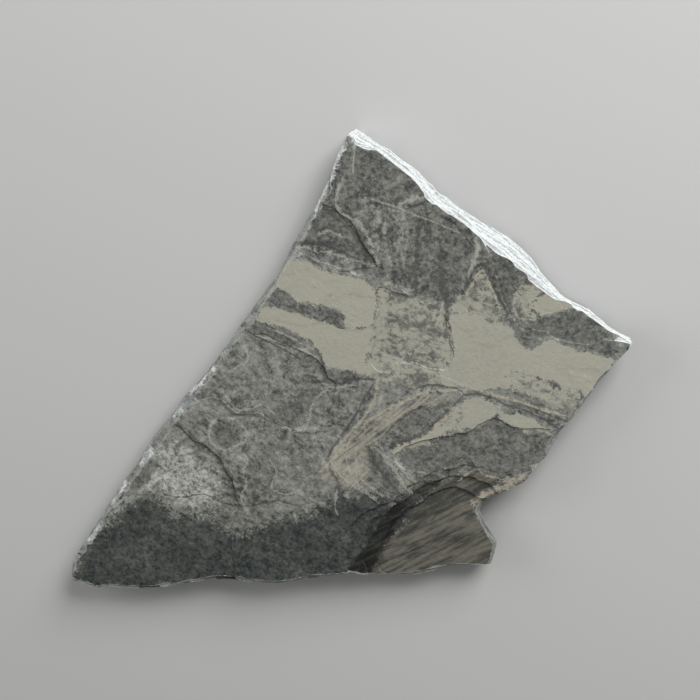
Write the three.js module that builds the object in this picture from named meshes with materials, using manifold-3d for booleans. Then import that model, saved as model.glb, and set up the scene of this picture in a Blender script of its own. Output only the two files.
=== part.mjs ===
// A slab of riven slate: an irregular flagstone, split along its grain and broken to shape round the edge.
// It lies on its flat back with its split face up. Millimetres, +Z up, +X along the slab's greatest length.
// The origin is on the ground, under the middle of the slab's box.
// Slate is a stack of thin beds, so the broken edge is built as six beds, each standing out or set back a
// little. The face is the top bed, with shallow hollows where thinner leaves of stone have come away.

import * as THREE from 'three';
import { ImprovedNoise } from 'three/addons/math/ImprovedNoise.js';
import { mergeVertices } from 'three/addons/utils/BufferGeometryUtils.js';
import Module from 'manifold-3d';

// Driving dimensions, in millimetres
const THICKNESS = 38;
const RIM_STEP = 9.6;
const LEDGE_STEP = 9.5;
const BED_JOINT = 0.6;
const BED_HEAVE = 1.6;
const HEAVE_LENGTH = 85;
const CORNER_REACH = 4;
const CUT_PAST = 6;

// The face's rim, clockwise seen from above. Each edge starts at a corner of the slab.
const RIM = {
  upper: [[262, 274], [284, 234], [299, 200], [306, 172], [321, 130], [341, 77], [356, 41], [373, -7],
    [391, -31], [403, -62]],
  short: [[419, -86], [388, -101], [343, -123], [285, -153], [259, -172], [211, -190], [161, -193],
    [138, -205], [137, -225], [135, -253]],
  lower: [[117, -274], [71, -257], [11, -245], [-61, -210], [-144, -189], [-234, -147], [-322, -124],
    [-391, -95]],
  long: [[-419, -69], [-398, -47], [-356, -28], [-286, 5], [-235, 29], [-179, 55], [-107, 84], [-55, 103],
    [12, 135], [60, 153], [101, 174], [138, 195], [177, 216], [211, 237], [243, 261]],
};

// Places round the rim where the beds' offsets are given: an edge, and how far along it from 0 to 1.
const STATIONS = [['upper', 0], ['upper', 0.38], ['upper', 0.55], ['upper', 0.85], ['short', 0],
  ['short', 0.5], ['lower', 0], ['lower', 0.5], ['long', 0], ['long', 0.4], ['long', 0.8]];

// The beds from the face down: how thick each is, and how far it stands out from the rim at each station.
const BEDS = [
  { thick: 4, out: [0, 0, 0, 0, 0, -1, -2, -3, -4, -7, -5] },
  { thick: 7, out: [-1, -2, 0, -1, -1, 0, 0, 1, 0, 0, 0] },
  { thick: 6, out: [-2, -1, 3, -3, -4, -2, 2, 3, 1, 2, -2] },
  { thick: 9, out: [-3, -4, 5, -4, -9, 1, 0, 0, 3, -1, 1] },
  { thick: 5, out: [-5, -3, 6, -7, -14, -3, -3, 4, -2, 1, -3] },
  { thick: 7, out: [-6, -6, 4, -9, -19, -6, -6, -2, -5, -3, -5] },
];
const BED_RAGGED = { coarse: 2.4, fine: 1.3, coarseLength: 52, fineLength: 17 };

// How far a ledge's line wanders from its outline, in long and in short wiggles.
const LEDGE_WANDER = { coarse: 5, fine: 2.2, coarseLength: 31, fineLength: 12 };

// Hollows where leaves of stone have come off the face.
// rise tilts the floor: millimetres up for each metre along X and Y from the outline's middle.
const FACE_HOLLOWS = {
  cornerStepOne: { depth: 2.4, rise: [2, -6], outline: [[-5, -153], [36, -146], [77, -139], [116, -135],
    [149, -138], [178, -148], [199, -169], [226, -182], [270, -174], [279, -235], [154, -305], [71, -335],
    [-38, -273], [-53, -217]] },
  cornerStepTwo: { depth: 5, rise: [2, -8], outline: [[8, -166], [51, -156], [94, -147], [124, -145],
    [150, -150], [170, -171], [186, -192], [211, -227], [162, -293], [76, -337], [-26, -278], [-33, -226]] },
  cornerStepThree: { depth: 7.6, rise: [0, -14], outline: [[25, -179], [67, -166], [107, -159], [137, -163],
    [153, -189], [174, -223], [143, -285], [84, -324], [-10, -278], [-13, -224]] },
  darkPan: { depth: 1.9, rise: [3, -3], outline: [[91, -96], [110, -87], [144, -92], [185, -101],
    [228, -101], [253, -121], [277, -137], [307, -167], [270, -192], [243, -177], [219, -180], [189, -168],
    [165, -140], [140, -134], [107, -125], [92, -115]] },
  mottledHollow: { depth: 1.3, rise: [0, 0], outline: [[192, 102], [216, 81], [235, 58], [248, 37],
    [236, 14], [230, -6], [212, -21], [194, -9], [170, 8], [135, 8], [131, 21], [154, 51], [177, 75]] },
  greyShelf: { depth: 1.5, rise: [0, 4], outline: [[-11, 137], [14, 128], [43, 102], [71, 66], [76, 50],
    [74, 33], [78, 18], [61, 0], [37, -13], [-6, -13], [-18, 7], [-33, 27], [-58, 42], [-66, 63], [-89, 71],
    [-129, 89], [-74, 119]] },
  fold: { depth: 1.6, rise: [0, 5], outline: [[190, 218], [204, 196], [209, 177], [205, 154], [207, 125],
    [194, 123], [169, 139], [151, 160], [130, 181], [105, 205], [163, 240]] },
  hook: { depth: 1.7, rise: [6, 0], outline: [[344, 106], [331, 80], [323, 48], [313, 13], [313, -6],
    [320, -21], [341, -32], [354, -47], [368, -64], [390, -66], [422, -56], [395, 17], [369, 90]] },
  upperBand: { depth: 1.1, rise: [0, 0], outline: [[279, 150], [303, 149], [320, 110], [322, 95], [297, 72],
    [271, 57], [243, 43], [232, 62], [219, 77], [241, 117]] },
  lowerLeftShelf: { depth: 1.3, rise: [-3, 0], outline: [[-176, 79], [-142, 61], [-130, 36], [-118, 12],
    [-119, -15], [-118, -44], [-132, -69], [-162, -98], [-249, -203], [-487, -104], [-384, 9], [-281, 30]] },
};

// The same on the back, measured up from the ground. The rest of the back is flat, for the slab to lie on.
const BACK_HOLLOWS = {
  backShelf: { depth: 2.6, rise: [0, 6], outline: [[-240, 70], [-205, 12], [-120, -5], [-52, 30], [38, 48],
    [96, 96], [150, 122], [186, 178], [120, 240], [-80, 160]] },
  backCorner: { depth: 3.4, rise: [9, 0], outline: [[300, 60], [282, -10], [300, -70], [268, -118],
    [300, -190], [460, -110], [410, 60]] },
  backLeaf: { depth: 1.8, rise: [0, -5], outline: [[-330, -60], [-262, -82], [-190, -92], [-118, -140],
    [-60, -160], [-40, -240], [-200, -230], [-380, -160]] },
};

// Bites out of the face's rim: edge, how far along it, radius, how deep it goes and how far it reaches in.
const RIM_BITES = [
  ['upper', 0.05, 17, 7, 5], ['upper', 0.33, 22, 5, 4], ['upper', 0.71, 26, 6, 5], ['short', 0.17, 18, 5, 4],
  ['short', 0.42, 24, 8, 6], ['lower', 0.12, 30, 9, 7], ['lower', 0.4, 21, 6, 6], ['lower', 0.63, 34, 8, 8],
  ['lower', 0.9, 24, 7, 6], ['long', 0.08, 20, 6, 6], ['long', 0.24, 28, 5, 9], ['long', 0.47, 18, 4, 7],
  ['long', 0.66, 30, 6, 8], ['long', 0.9, 16, 5, 6],
];

// Where in the noise the beds, the face's hollows and the back's start, and how far apart two of them are.
const NOISE_START = 0.5;
const FACE_NOISE = 30.4;
const BACK_NOISE = 90.4;
const NOISE_STEP = 3.7;

const SLATE_GREY = 0x6f706b;

const noise = new ImprovedNoise();
const wasm = await Module();
wasm.setup();

// The rim as evenly spaced points. Each knows its edge and how far along it lies, and the corners are kept.
function walkRim() {
  const edges = Object.keys(RIM);
  return edges.flatMap((edge, i) => {
    const corner = RIM[edges[(i + 1) % edges.length]][0];
    const points = [...RIM[edge], corner].map(([x, y]) => new THREE.Vector2(x, y));
    const path = new THREE.CurvePath();
    points.slice(1).forEach((end, j) => path.add(new THREE.LineCurve(points[j], end)));
    const count = Math.round(path.getLength() / RIM_STEP);
    const alongs = Array.from({ length: count }, (_, j) => j / count);
    return alongs.map((along) => ({ edge, along, point: path.getPoint(along) }));
  });
}

// Gives each rim point its distance round the rim and its outward direction. The direction is taken across a
// stretch of rim, so that it swings round a corner gradually and a deep bed doesn't fold over itself there.
function measureRim(rim) {
  let round = 0;
  rim.forEach((place, i) => {
    const before = rim.at(i - CORNER_REACH).point;
    const after = rim[(i + CORNER_REACH) % rim.length].point;
    if (i > 0) round += place.point.distanceTo(rim[i - 1].point);
    place.round = round;
    place.outward = new THREE.Vector2(before.y - after.y, after.x - before.x).normalize();
  });
  return round + rim.at(-1).point.distanceTo(rim[0].point);
}

const rim = walkRim();
const rimLength = measureRim(rim);
const placeAt = (edge, along) => rim.filter((p) => p.edge === edge).findLast((p) => p.along <= along);
const stationRounds = STATIONS.map(([edge, along]) => placeAt(edge, along).round);

// The offset at a distance round the rim, eased between the stations on either side.
function offsetBetweenStations(out, round) {
  const last = stationRounds.findLastIndex((r) => r <= round);
  const next = (last + 1) % out.length;
  const gap = (stationRounds[next] - stationRounds[last] + rimLength) % rimLength;
  const eased = THREE.MathUtils.smoothstep((round - stationRounds[last]) / gap, 0, 1);
  return THREE.MathUtils.lerp(out[last], out[next], eased);
}

// Two sizes of noise at a place in plan. level picks a different pattern for each bed or ledge.
function wander(at, level, { coarse, fine, coarseLength, fineLength }) {
  return coarse * noise.noise(at.x / coarseLength, at.y / coarseLength, level)
    + fine * noise.noise(at.x / fineLength, at.y / fineLength, level);
}

// One ring of the edge: every rim point moved out by its bed's offset, at a height. The joints between beds
// heave up and down a little, and the slab's own face and back stay flat.
function ring(bed, joint, height, lean) {
  const isBetweenBeds = joint > 0 && joint < BEDS.length;
  return rim.map(({ point, outward, round }) => {
    const offset = offsetBetweenStations(BEDS[bed].out, round) + lean;
    const out = offset + wander(point, NOISE_START + bed * NOISE_STEP, BED_RAGGED);
    const heave = BED_HEAVE * noise.noise(point.x / HEAVE_LENGTH, point.y / HEAVE_LENGTH, joint);
    const z = isBetweenBeds ? height + heave : height;
    return new THREE.Vector3(point.x + outward.x * out, point.y + outward.y * out, z);
  });
}

// Two rings for each bed. A bed's foot stands out or in a little from its top, as broken slate does.
function edgeRings() {
  let top = THICKNESS;
  return BEDS.flatMap(({ thick }, bed) => {
    const foot = top - thick;
    const startsAt = bed === 0 ? top : top - BED_JOINT / 2;
    const endsAt = bed === BEDS.length - 1 ? foot : foot + BED_JOINT / 2;
    const lean = bed % 2 ? -0.8 : 0.9;
    top = foot;
    return [ring(bed, bed, startsAt, 0), ring(bed, bed + 1, endsAt, lean)];
  });
}

// A closed body from rings of equal count that run clockwise seen from above, the highest first.
function bodyFromRings(rings) {
  const count = rings[0].length;
  const index = [];
  for (let r = 0; r + 1 < rings.length; r++) {
    for (let i = 0; i < count; i++) {
      const a = r * count + i;
      const b = r * count + (i + 1) % count;
      index.push(a, b, a + count, b, b + count, a + count);
    }
  }
  const cap = (points, first, up) => {
    const flat = points.map((p) => new THREE.Vector2(p.x, p.y));
    for (const [a, b, c] of THREE.ShapeUtils.triangulateShape(flat, [])) {
      index.push(first + a, first + (up ? b : c), first + (up ? c : b));
    }
  };
  cap(rings[0], 0, true);
  cap(rings.at(-1), (rings.length - 1) * count, false);
  return new THREE.BufferGeometry().setFromPoints(rings.flat()).setIndex(index);
}

// A hollow's outline, made into short uneven steps: a ledge in split stone has no long straight lines.
function roughOutline(outline, level) {
  const corners = outline.map(([x, y]) => new THREE.Vector3(x, y, 0));
  const curve = new THREE.CatmullRomCurve3(corners, true, 'centripetal');
  const count = Math.round(curve.getLength() / LEDGE_STEP);
  return Array.from({ length: count }, (_, i) => {
    const p = curve.getPoint(i / count);
    const along = wander(p, level, LEDGE_WANDER);
    const across = wander(p, level + NOISE_STEP / 2, LEDGE_WANDER);
    return new THREE.Vector2(p.x + along, p.y + across);
  });
}

// The stone that came out of a hollow, as a solid to cut away: from the hollow's floor to past the surface.
function hollowCutter({ outline, depth, rise: [riseX, riseY] }, level, isFace) {
  const shape = new THREE.Shape(roughOutline(outline, level));
  const geometry = new THREE.ExtrudeGeometry(shape, { depth: CUT_PAST, bevelEnabled: false });
  const middle = new THREE.Box2().setFromPoints(shape.getPoints()).getCenter(new THREE.Vector2());
  const position = geometry.getAttribute('position');
  for (let i = 0; i < position.count; i++) {
    const tilt = (riseX * (position.getX(i) - middle.x) + riseY * (position.getY(i) - middle.y)) / 1000;
    const isUpperSide = position.getZ(i) > 0;
    const faceHeight = isUpperSide ? THICKNESS + CUT_PAST : THICKNESS - depth + tilt;
    const backHeight = isUpperSide ? depth + tilt : -CUT_PAST;
    position.setZ(i, isFace ? faceHeight : backHeight);
  }
  return geometry;
}

// A flattened ball centred on the rim at face height, to bite a scallop from the edge.
function biteCutter([edge, along, radius, depth, reach]) {
  const { point, outward } = placeAt(edge, along);
  const geometry = new THREE.IcosahedronGeometry(1, 2);
  geometry.scale(reach, radius, depth);
  geometry.rotateZ(Math.atan2(outward.y, outward.x));
  return geometry.translate(point.x, point.y, THICKNESS);
}

// A geometry as a solid to join and cut.
function solid(geometry) {
  const bare = geometry.clone();
  bare.deleteAttribute('normal');
  bare.deleteAttribute('uv');
  const merged = mergeVertices(bare);
  const triVerts = new Uint32Array(merged.index.array);
  const vertProperties = merged.attributes.position.array;
  return new wasm.Manifold(new wasm.Mesh({ numProp: 3, vertProperties, triVerts }));
}

// A solid as a geometry with flat faces, moved in plan so that the middle of its box is at the origin.
function geometryOf(made) {
  const { numProp, vertProperties, triVerts } = made.getMesh();
  const points = Array.from(triVerts, (v) => new THREE.Vector3().fromArray(vertProperties, v * numProp));
  const geometry = new THREE.BufferGeometry().setFromPoints(points);
  const middle = new THREE.Box3().setFromPoints(points).getCenter(new THREE.Vector3());
  geometry.translate(-middle.x, -middle.y, 0);
  geometry.computeVertexNormals();
  return geometry;
}

const faceHollows = Object.values(FACE_HOLLOWS);
const backHollows = Object.values(BACK_HOLLOWS);
const cutters = [
  ...faceHollows.map((hollow, i) => hollowCutter(hollow, FACE_NOISE + i * NOISE_STEP, true)),
  ...backHollows.map((hollow, i) => hollowCutter(hollow, BACK_NOISE + i * NOISE_STEP, false)),
  ...RIM_BITES.map(biteCutter),
];
const block = solid(bodyFromRings(edgeRings()));
const stone = cutters.reduce((left, cutter) => left.subtract(solid(cutter)), block);

const slab = new THREE.Mesh(
  geometryOf(stone),
  new THREE.MeshStandardMaterial({ color: SLATE_GREY, roughness: 0.72, metalness: 0, flatShading: true }),
);
slab.name = 'slab';

const part = new THREE.Group();
part.name = 'slate_slab';
part.add(slab);

export default part;
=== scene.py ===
# %% [markdown]
# # A slab of riven slate
# A flagstone, split along its grain and broken to shape round the edge. The real one is a single stone, so
# here it is a single mesh. It lies flat, because it can't stand on its own, and the camera looks down on
# its split face. The packed solid gives its size and its main forms. This script adds what a hand would
# feel and an eye would see: leaves in the broken edge, ragged ledges, thin terraces, stains, veins and
# grain.

# %% Load the frame
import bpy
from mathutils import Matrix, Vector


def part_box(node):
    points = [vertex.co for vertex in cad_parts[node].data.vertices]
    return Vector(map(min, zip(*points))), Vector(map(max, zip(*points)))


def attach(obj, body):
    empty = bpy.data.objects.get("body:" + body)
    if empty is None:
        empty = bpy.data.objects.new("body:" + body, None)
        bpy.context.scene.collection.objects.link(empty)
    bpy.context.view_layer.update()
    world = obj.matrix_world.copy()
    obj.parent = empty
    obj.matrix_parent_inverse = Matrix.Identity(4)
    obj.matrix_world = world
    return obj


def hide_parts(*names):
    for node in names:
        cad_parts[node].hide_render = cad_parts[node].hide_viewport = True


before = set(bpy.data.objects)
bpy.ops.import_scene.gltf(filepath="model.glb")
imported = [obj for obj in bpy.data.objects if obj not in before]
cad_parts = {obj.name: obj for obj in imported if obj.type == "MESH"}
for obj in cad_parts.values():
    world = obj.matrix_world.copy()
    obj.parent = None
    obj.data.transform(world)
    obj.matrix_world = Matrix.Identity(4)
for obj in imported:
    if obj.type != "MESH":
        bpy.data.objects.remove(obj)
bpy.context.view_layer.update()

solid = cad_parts["slab"]

# %% [markdown]
# ## The camera comes first
# The photograph shows the face tilted, with the broken edge along its upper right side catching the light.
# The markings were read off the photograph in pixels, so one set of numbers has to serve twice: it places
# the camera, and it turns a pixel of the photograph into a point on the face. The face is drawn larger here
# than in the photograph, so that it fills the picture.

# %% Where the camera stands
import math
import bpy
import numpy as np
from mathutils import Matrix, Vector

MM = 0.001
PICTURE_PX = 700
LENS_MM = 85.0
SENSOR_MM = 36.0
MM_PER_PHOTO_PX = 2.4
ENLARGED = 2.05
AIMED_AT_PX = np.array([324.0, 214.0])
APEX_PX = (322.7, 108.5)
SLAB_TURN = math.radians(-33)
CAMERA_LEAN = math.radians(30)
LEAN_TOWARDS = math.radians(62)
FACE_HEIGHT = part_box("slab")[1][2]
AIM_POINT = np.array([121.77 * MM, 50.33 * MM, FACE_HEIGHT])

FOCAL_PX = LENS_MM / SENSOR_MM * PICTURE_PX
CAMERA_DISTANCE = MM_PER_PHOTO_PX * MM / ENLARGED * FOCAL_PX
lean_bearing = LEAN_TOWARDS + SLAB_TURN
to_camera = np.array([
    math.sin(CAMERA_LEAN) * math.cos(lean_bearing),
    math.sin(CAMERA_LEAN) * math.sin(lean_bearing),
    math.cos(CAMERA_LEAN),
])
photo_up = np.array([-math.sin(SLAB_TURN), math.cos(SLAB_TURN), 0.0])
camera_up = photo_up - to_camera * photo_up.dot(to_camera)
camera_up /= np.linalg.norm(camera_up)
camera_right = np.cross(camera_up, to_camera)
camera_place = AIM_POINT + to_camera * CAMERA_DISTANCE


def on_slab(px, py):
    """The point of the face, in metres, that a pixel of the photograph shows."""
    across, down = (np.array([px, py]) - AIMED_AT_PX) * ENLARGED
    ray = -to_camera * FOCAL_PX + camera_right * across - camera_up * down
    reach = (FACE_HEIGHT - camera_place[2]) / ray[2]
    return (camera_place + ray * reach)[:2]


print("the slab's apex is at", on_slab(*APEX_PX).round(4))

# %% Make the camera
lens = bpy.data.cameras.new("slab_camera")
lens.lens = LENS_MM
lens.sensor_width = SENSOR_MM
camera = bpy.data.objects.new("slab_camera", lens)
turned = Matrix((camera_right, camera_up, to_camera)).transposed().to_4x4()
camera.matrix_world = Matrix.Translation(camera_place) @ turned
bpy.context.collection.objects.link(camera)
bpy.context.scene.camera = camera
print("the camera is at", camera_place.round(3))

# %% [markdown]
# ## Reading the solid
# The stone is rebuilt around the solid with many more points. It follows the solid within a millimetre or
# two, and leaves it further only where a leaf has snapped off the edge. A ray is a good ruler: one sent
# down says how high the face is there, and one sent in from the side says where the broken edge is at that
# height. The solid's ledges are read too, because a ledge that is cut in the mesh exactly along its line
# stays crisp, while one that is left to the grid turns into saw teeth.

# %% A ruler
import bmesh
from mathutils import noise
from mathutils.bvhtree import BVHTree
from mathutils.kdtree import KDTree

SEED = 7
SAME_POINT = 0.001 * MM
CLEAR = 0.1
noise.seed_set(SEED)
ruler_mesh = bmesh.new()
ruler_mesh.from_mesh(solid.data)
bmesh.ops.remove_doubles(ruler_mesh, verts=ruler_mesh.verts[:], dist=SAME_POINT)
ruler = BVHTree.FromBMesh(ruler_mesh)


def surface_height(x, y, side):
    """How high the solid's face (side 1) or its back (side -1) is at a place, or None past the edge."""
    hit = ruler.ray_cast(Vector((x, y, side * CLEAR)), Vector((0, 0, -side)))[0]
    return hit.z if hit else None


print("the solid's face over the origin is", round(surface_height(0, 0, 1) / MM, 2), "mm up")

# %% The slab's outline at half height
WAIST_HEIGHT = 20 * MM
RIM_SPACING = 2.3 * MM
NORMAL_REACH = 8


def section_loop(mesh, height):
    """The outline where a level plane cuts the mesh, as points in order."""
    cut_mesh = mesh.copy()
    everything = cut_mesh.verts[:] + cut_mesh.edges[:] + cut_mesh.faces[:]
    cut = bmesh.ops.bisect_plane(cut_mesh, geom=everything, plane_co=(0, 0, height), plane_no=(0, 0, 1))
    edges = {part for part in cut["geom_cut"] if isinstance(part, bmesh.types.BMEdge)}
    here = max((edge.verts[0] for edge in edges), key=lambda vert: tuple(vert.co))
    points = []
    while edges:
        onward = next((edge for edge in here.link_edges if edge in edges), None)
        if onward is None:
            break
        points.append((here.co.x, here.co.y))
        edges.discard(onward)
        here = onward.other_vert(here)
    cut_mesh.free()
    return np.array(points)


def evenly(loop, spacing):
    """The closed loop with even spacing, counter-clockwise seen from above, from the same start."""
    following = np.roll(loop, -1, axis=0)
    if (loop[:, 0] * following[:, 1] - following[:, 0] * loop[:, 1]).sum() < 0:
        loop = np.roll(loop[::-1], 1, axis=0)
    closed = np.vstack([loop, loop[:1]])
    steps = np.linalg.norm(np.diff(closed, axis=0), axis=1)
    along = np.concatenate([[0], np.cumsum(steps)])
    places = np.linspace(0, along[-1], round(along[-1] / spacing), endpoint=False)
    return np.stack([np.interp(places, along, closed[:, axis]) for axis in (0, 1)], axis=1)


waist = evenly(section_loop(ruler_mesh, WAIST_HEIGHT), RIM_SPACING)
chords = np.roll(waist, -NORMAL_REACH, axis=0) - np.roll(waist, NORMAL_REACH, axis=0)
outward = np.stack([chords[:, 1], -chords[:, 0]], axis=1)
outward /= np.linalg.norm(outward, axis=1)[:, None]
print("the waist has", len(waist), "points")

# %% The solid's ledges
LEDGE_SAMPLE = 0.5 * MM
LEAST_LEDGE = 0.4 * MM
RIM_CLEARANCE = 9 * MM
LEVEL, UPRIGHT = 0.9, 0.4
MIDDLE_TO_TOP = 1.5


def tree_of(samples):
    """A tree that finds the nearest of some places, level with the ground."""
    tree = KDTree(len(samples))
    for i, sample in enumerate(samples):
        tree.insert((sample[0], sample[1], 0), i)
    tree.balance()
    return tree


def ledge_feet(mesh, side):
    """Samples along the foot of every ledge of one side, which is 1 for the face and -1 for the back.
    Each is its place, which way the ledge climbs, and how high it is."""
    samples = []
    ends = {
        edge: sorted((tuple(vert.co), tuple(vert.co)[::-1]) for vert in edge.verts)
        for edge in mesh.edges
    }
    for edge in sorted(mesh.edges, key=ends.get):
        if len(edge.link_faces) != 2:
            continue
        floor, wall = sorted(edge.link_faces, key=lambda face: -side * face.normal.z)
        if side * floor.normal.z < LEVEL or abs(wall.normal.z) > UPRIGHT:
            continue
        start, end = (Vector(end[0]) for end in ends[edge])
        rise = side * (wall.calc_center_median().z - (start.z + end.z) / 2) * MIDDLE_TO_TOP
        if rise < LEAST_LEDGE:
            continue
        climbs = Vector((-wall.normal.x, -wall.normal.y)).normalized()
        count = max(2, round((end - start).length / LEDGE_SAMPLE))
        for i in range(count):
            at = start.lerp(end, i / count)
            if waist_tree.find((at.x, at.y, 0))[2] > RIM_CLEARANCE:
                samples.append((at.x, at.y, climbs.x, climbs.y, rise))
    return np.array(samples)


waist_tree = tree_of(waist)
ledges = {side: ledge_feet(ruler_mesh, side) for side in (1, -1)}
ledge_trees = {side: tree_of(samples) for side, samples in ledges.items()}
print(len(ledges[1]), "ledge samples on the face and", len(ledges[-1]), "on the back")

# %% [markdown]
# ## Relief of a split face
# Slate splits into leaves a few tenths of a millimetre thick, and the split jumps from one leaf to the
# next, so the face is a low landscape of terraces whose edges wander like contour lines. Noise gives a
# smooth hill, and cutting the hill into whole steps gives the terraces. Geometry is used for this rather
# than bump alone, because the light rakes across the face, and it has to look right at the rim too.

# %% Terraces and waves
LEAF = 0.22 * MM
TERRACE_SIZE = 0.115
TERRACE_WIDTH = 0.085
TERRACE_WANDER = 1.7
TERRACE_MIDDLE = 1.2
BROAD_PACE, CLOSE_PACE, RAGGED_PACE = (0.8, 1.3), (2.3, 3.6), (11, 13)
CLOSE_SHARE, RAGGED_SHARE = 0.4, 0.09
CLOSE_SHIFT, RAGGED_SHIFT, WAVE_SHIFT, DIMPLE_SHIFT = 4, 8, 20, 30
WAVE_SIZE, WAVE_DEPTH = 0.21, 0.55 * MM
DIMPLE_SIZE, DIMPLE_DEPTH = 0.026, 0.16 * MM
RELIEF_CENTRE = 1.05 * MM
LEAST_RELIEF = 0.05 * MM
FINITE_STEP = 0.5 * MM
SIDE_SHIFT = 11.3
STRIPE_START_PX, STRIPE_END_PX = (283, 183), (453, 218)
stripe_way = on_slab(*STRIPE_END_PX) - on_slab(*STRIPE_START_PX)
STRIPE_TURN = math.atan2(stripe_way[1], stripe_way[0])


def hill(x, y, side):
    """The smooth field that terraces are cut from. Whole numbers are the terraces' edges."""
    along = x * math.cos(STRIPE_TURN) + y * math.sin(STRIPE_TURN)
    over = y * math.cos(STRIPE_TURN) - x * math.sin(STRIPE_TURN)
    u, v, w = along / TERRACE_SIZE, over / TERRACE_SIZE, side * SIDE_SHIFT
    broad = noise.noise(Vector((u * BROAD_PACE[0], v * BROAD_PACE[1], w)))
    close = noise.noise(Vector((u * CLOSE_PACE[0], v * CLOSE_PACE[1] + broad, w + CLOSE_SHIFT)))
    ragged = noise.noise(Vector((u * RAGGED_PACE[0], v * RAGGED_PACE[1], w + RAGGED_SHIFT)))
    wander = broad + close * CLOSE_SHARE + ragged * RAGGED_SHARE
    return TERRACE_MIDDLE + over / TERRACE_WIDTH + TERRACE_WANDER * wander


def hill_line(x, y, side):
    """Signed distance to the nearest terrace edge, and the direction in which the hill climbs."""
    height = hill(x, y, side)
    slope = Vector((hill(x + FINITE_STEP, y, side) - height, hill(x, y + FINITE_STEP, side) - height))
    slope /= FINITE_STEP
    steepness = max(slope.length, 1.0)
    return (height - round(height)) / steepness, slope / steepness


def relief(x, y, side):
    """How far the split surface lies below the solid's at a place. It is never above it."""
    terrace = math.floor(hill(x, y, side)) * LEAF
    wave = noise.noise(Vector((x / WAVE_SIZE, y / WAVE_SIZE, WAVE_SHIFT + side))) * WAVE_DEPTH
    dimple = noise.noise(Vector((x / DIMPLE_SIZE, y / DIMPLE_SIZE, DIMPLE_SHIFT + side))) * DIMPLE_DEPTH
    return max(LEAST_RELIEF, RELIEF_CENTRE - terrace - wave - dimple)


print("at the origin the face lies", round(relief(0, 0, 1) / MM, 2), "mm below the solid's")

# %% [markdown]
# ## The broken edge, leaf by leaf
# A hammer breaks slate across the grain, and each leaf snaps at its own place. So the edge is a stack of
# leaves, with the solid's six beds split further, and each leaf has its own ragged line. Two rings of
# points for each leaf keep its top and bottom corners sharp, which a remeshed block would round over like
# wax.

# %% Split the beds into leaves
BED_JOINTS_MM = [38, 34, 27, 21, 12, 7, 0]
LEAF_MM = 2.6
LEAF_SHARES = (0.6, 1.4)
rng = np.random.default_rng(SEED)


def split_beds(joints):
    """Heights of all leaf boundaries, from the face down. Every bed joint is one of them."""
    heights = [joints[0]]
    for top, foot in zip(joints, joints[1:]):
        count = max(2, round((top - foot) / LEAF_MM))
        shares = rng.uniform(*LEAF_SHARES, count)
        heights += list(top - (top - foot) * np.cumsum(shares) / shares.sum())
    return np.array(heights) * MM


leaf_heights = split_beds(BED_JOINTS_MM)
leaf_count = len(leaf_heights) - 1
print(leaf_count, "leaves, their boundaries in mm:", (leaf_heights / MM).round(1))

# %% Where each leaf ends
MISSING = 14 * MM
OUTSIDE = 45 * MM
SLANT = 1.3 * MM


def leaf_reach(i, leaf):
    """How far out from the waist the solid's edge is at a leaf's height. None where the leaf is missing."""
    middle = (leaf_heights[leaf] + leaf_heights[leaf + 1]) / 2
    start = Vector((*(waist[i] + outward[i] * OUTSIDE), middle))
    inward = Vector((*-outward[i], 0))
    distance = ruler.ray_cast(start, inward, OUTSIDE + MISSING)[3]
    return None if distance is None else OUTSIDE - distance


def eased(line):
    """Lets a leaf's edge leave a bite or a notch at a slant, never as a wall across the edge."""
    for order in (range(len(line)), range(len(line) - 1, -1, -1)):
        order = list(order)
        for before, after in zip(order * 2, order[1:] + order * 2):
            if line[before] is not None and line[after] is not None:
                line[after] = min(line[after], line[before] + SLANT)
    return line


lines = [eased([leaf_reach(i, leaf) for i in range(len(waist))]) for leaf in range(leaf_count)]
reaches = list(zip(*lines))
missing = sum(reach is None for column in reaches for reach in column)
print("leaves are missing at", missing, "of", len(waist) * leaf_count, "places")

# %% Ragged leaf ends
COARSE, COARSE_SIZE = 1.0 * MM, 24 * MM
FINE, FINE_SIZE = 0.55 * MM, 7 * MM
SNAP, SNAP_SIZE = 2.3 * MM, 30 * MM
SNAPS_ABOVE, SNAP_SUDDENNESS = 0.12, 9
LEAF_SHIFT, FINE_SHIFT, SNAP_LEAF_SHIFT, SNAP_SHIFT = 3.3, 50, 2.1, 90


def ragged(x, y, leaf):
    """How far a leaf's edge departs from the solid's. Most of it is inwards: leaves snap off."""
    coarse = noise.noise(Vector((x / COARSE_SIZE, y / COARSE_SIZE, leaf * LEAF_SHIFT)))
    fine = noise.noise(Vector((x / FINE_SIZE, y / FINE_SIZE, leaf * LEAF_SHIFT + FINE_SHIFT)))
    snap = noise.noise(Vector((x / SNAP_SIZE, y / SNAP_SIZE, leaf * SNAP_LEAF_SHIFT + SNAP_SHIFT)))
    snapped = min(1.0, max(0.0, (snap - SNAPS_ABOVE) * SNAP_SUDDENNESS))
    return coarse * COARSE + fine * FINE - snapped * SNAP


print("the first leaf departs by", round(ragged(*waist[0], 0) / MM, 2), "mm at the first place")

# %% Rings of points down the edge
LEAN, LEAN_PACE, LEAN_LEAF_SHIFT = 0.35 * MM, 3, 4.7
THINNEST = 0.25 * MM
INSIDE_RIM = 1.2 * MM
HEAVE, HEAVE_SIZE, HEAVE_LEAF_SHIFT = 0.5 * MM, 60 * MM, 1.9


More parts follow.
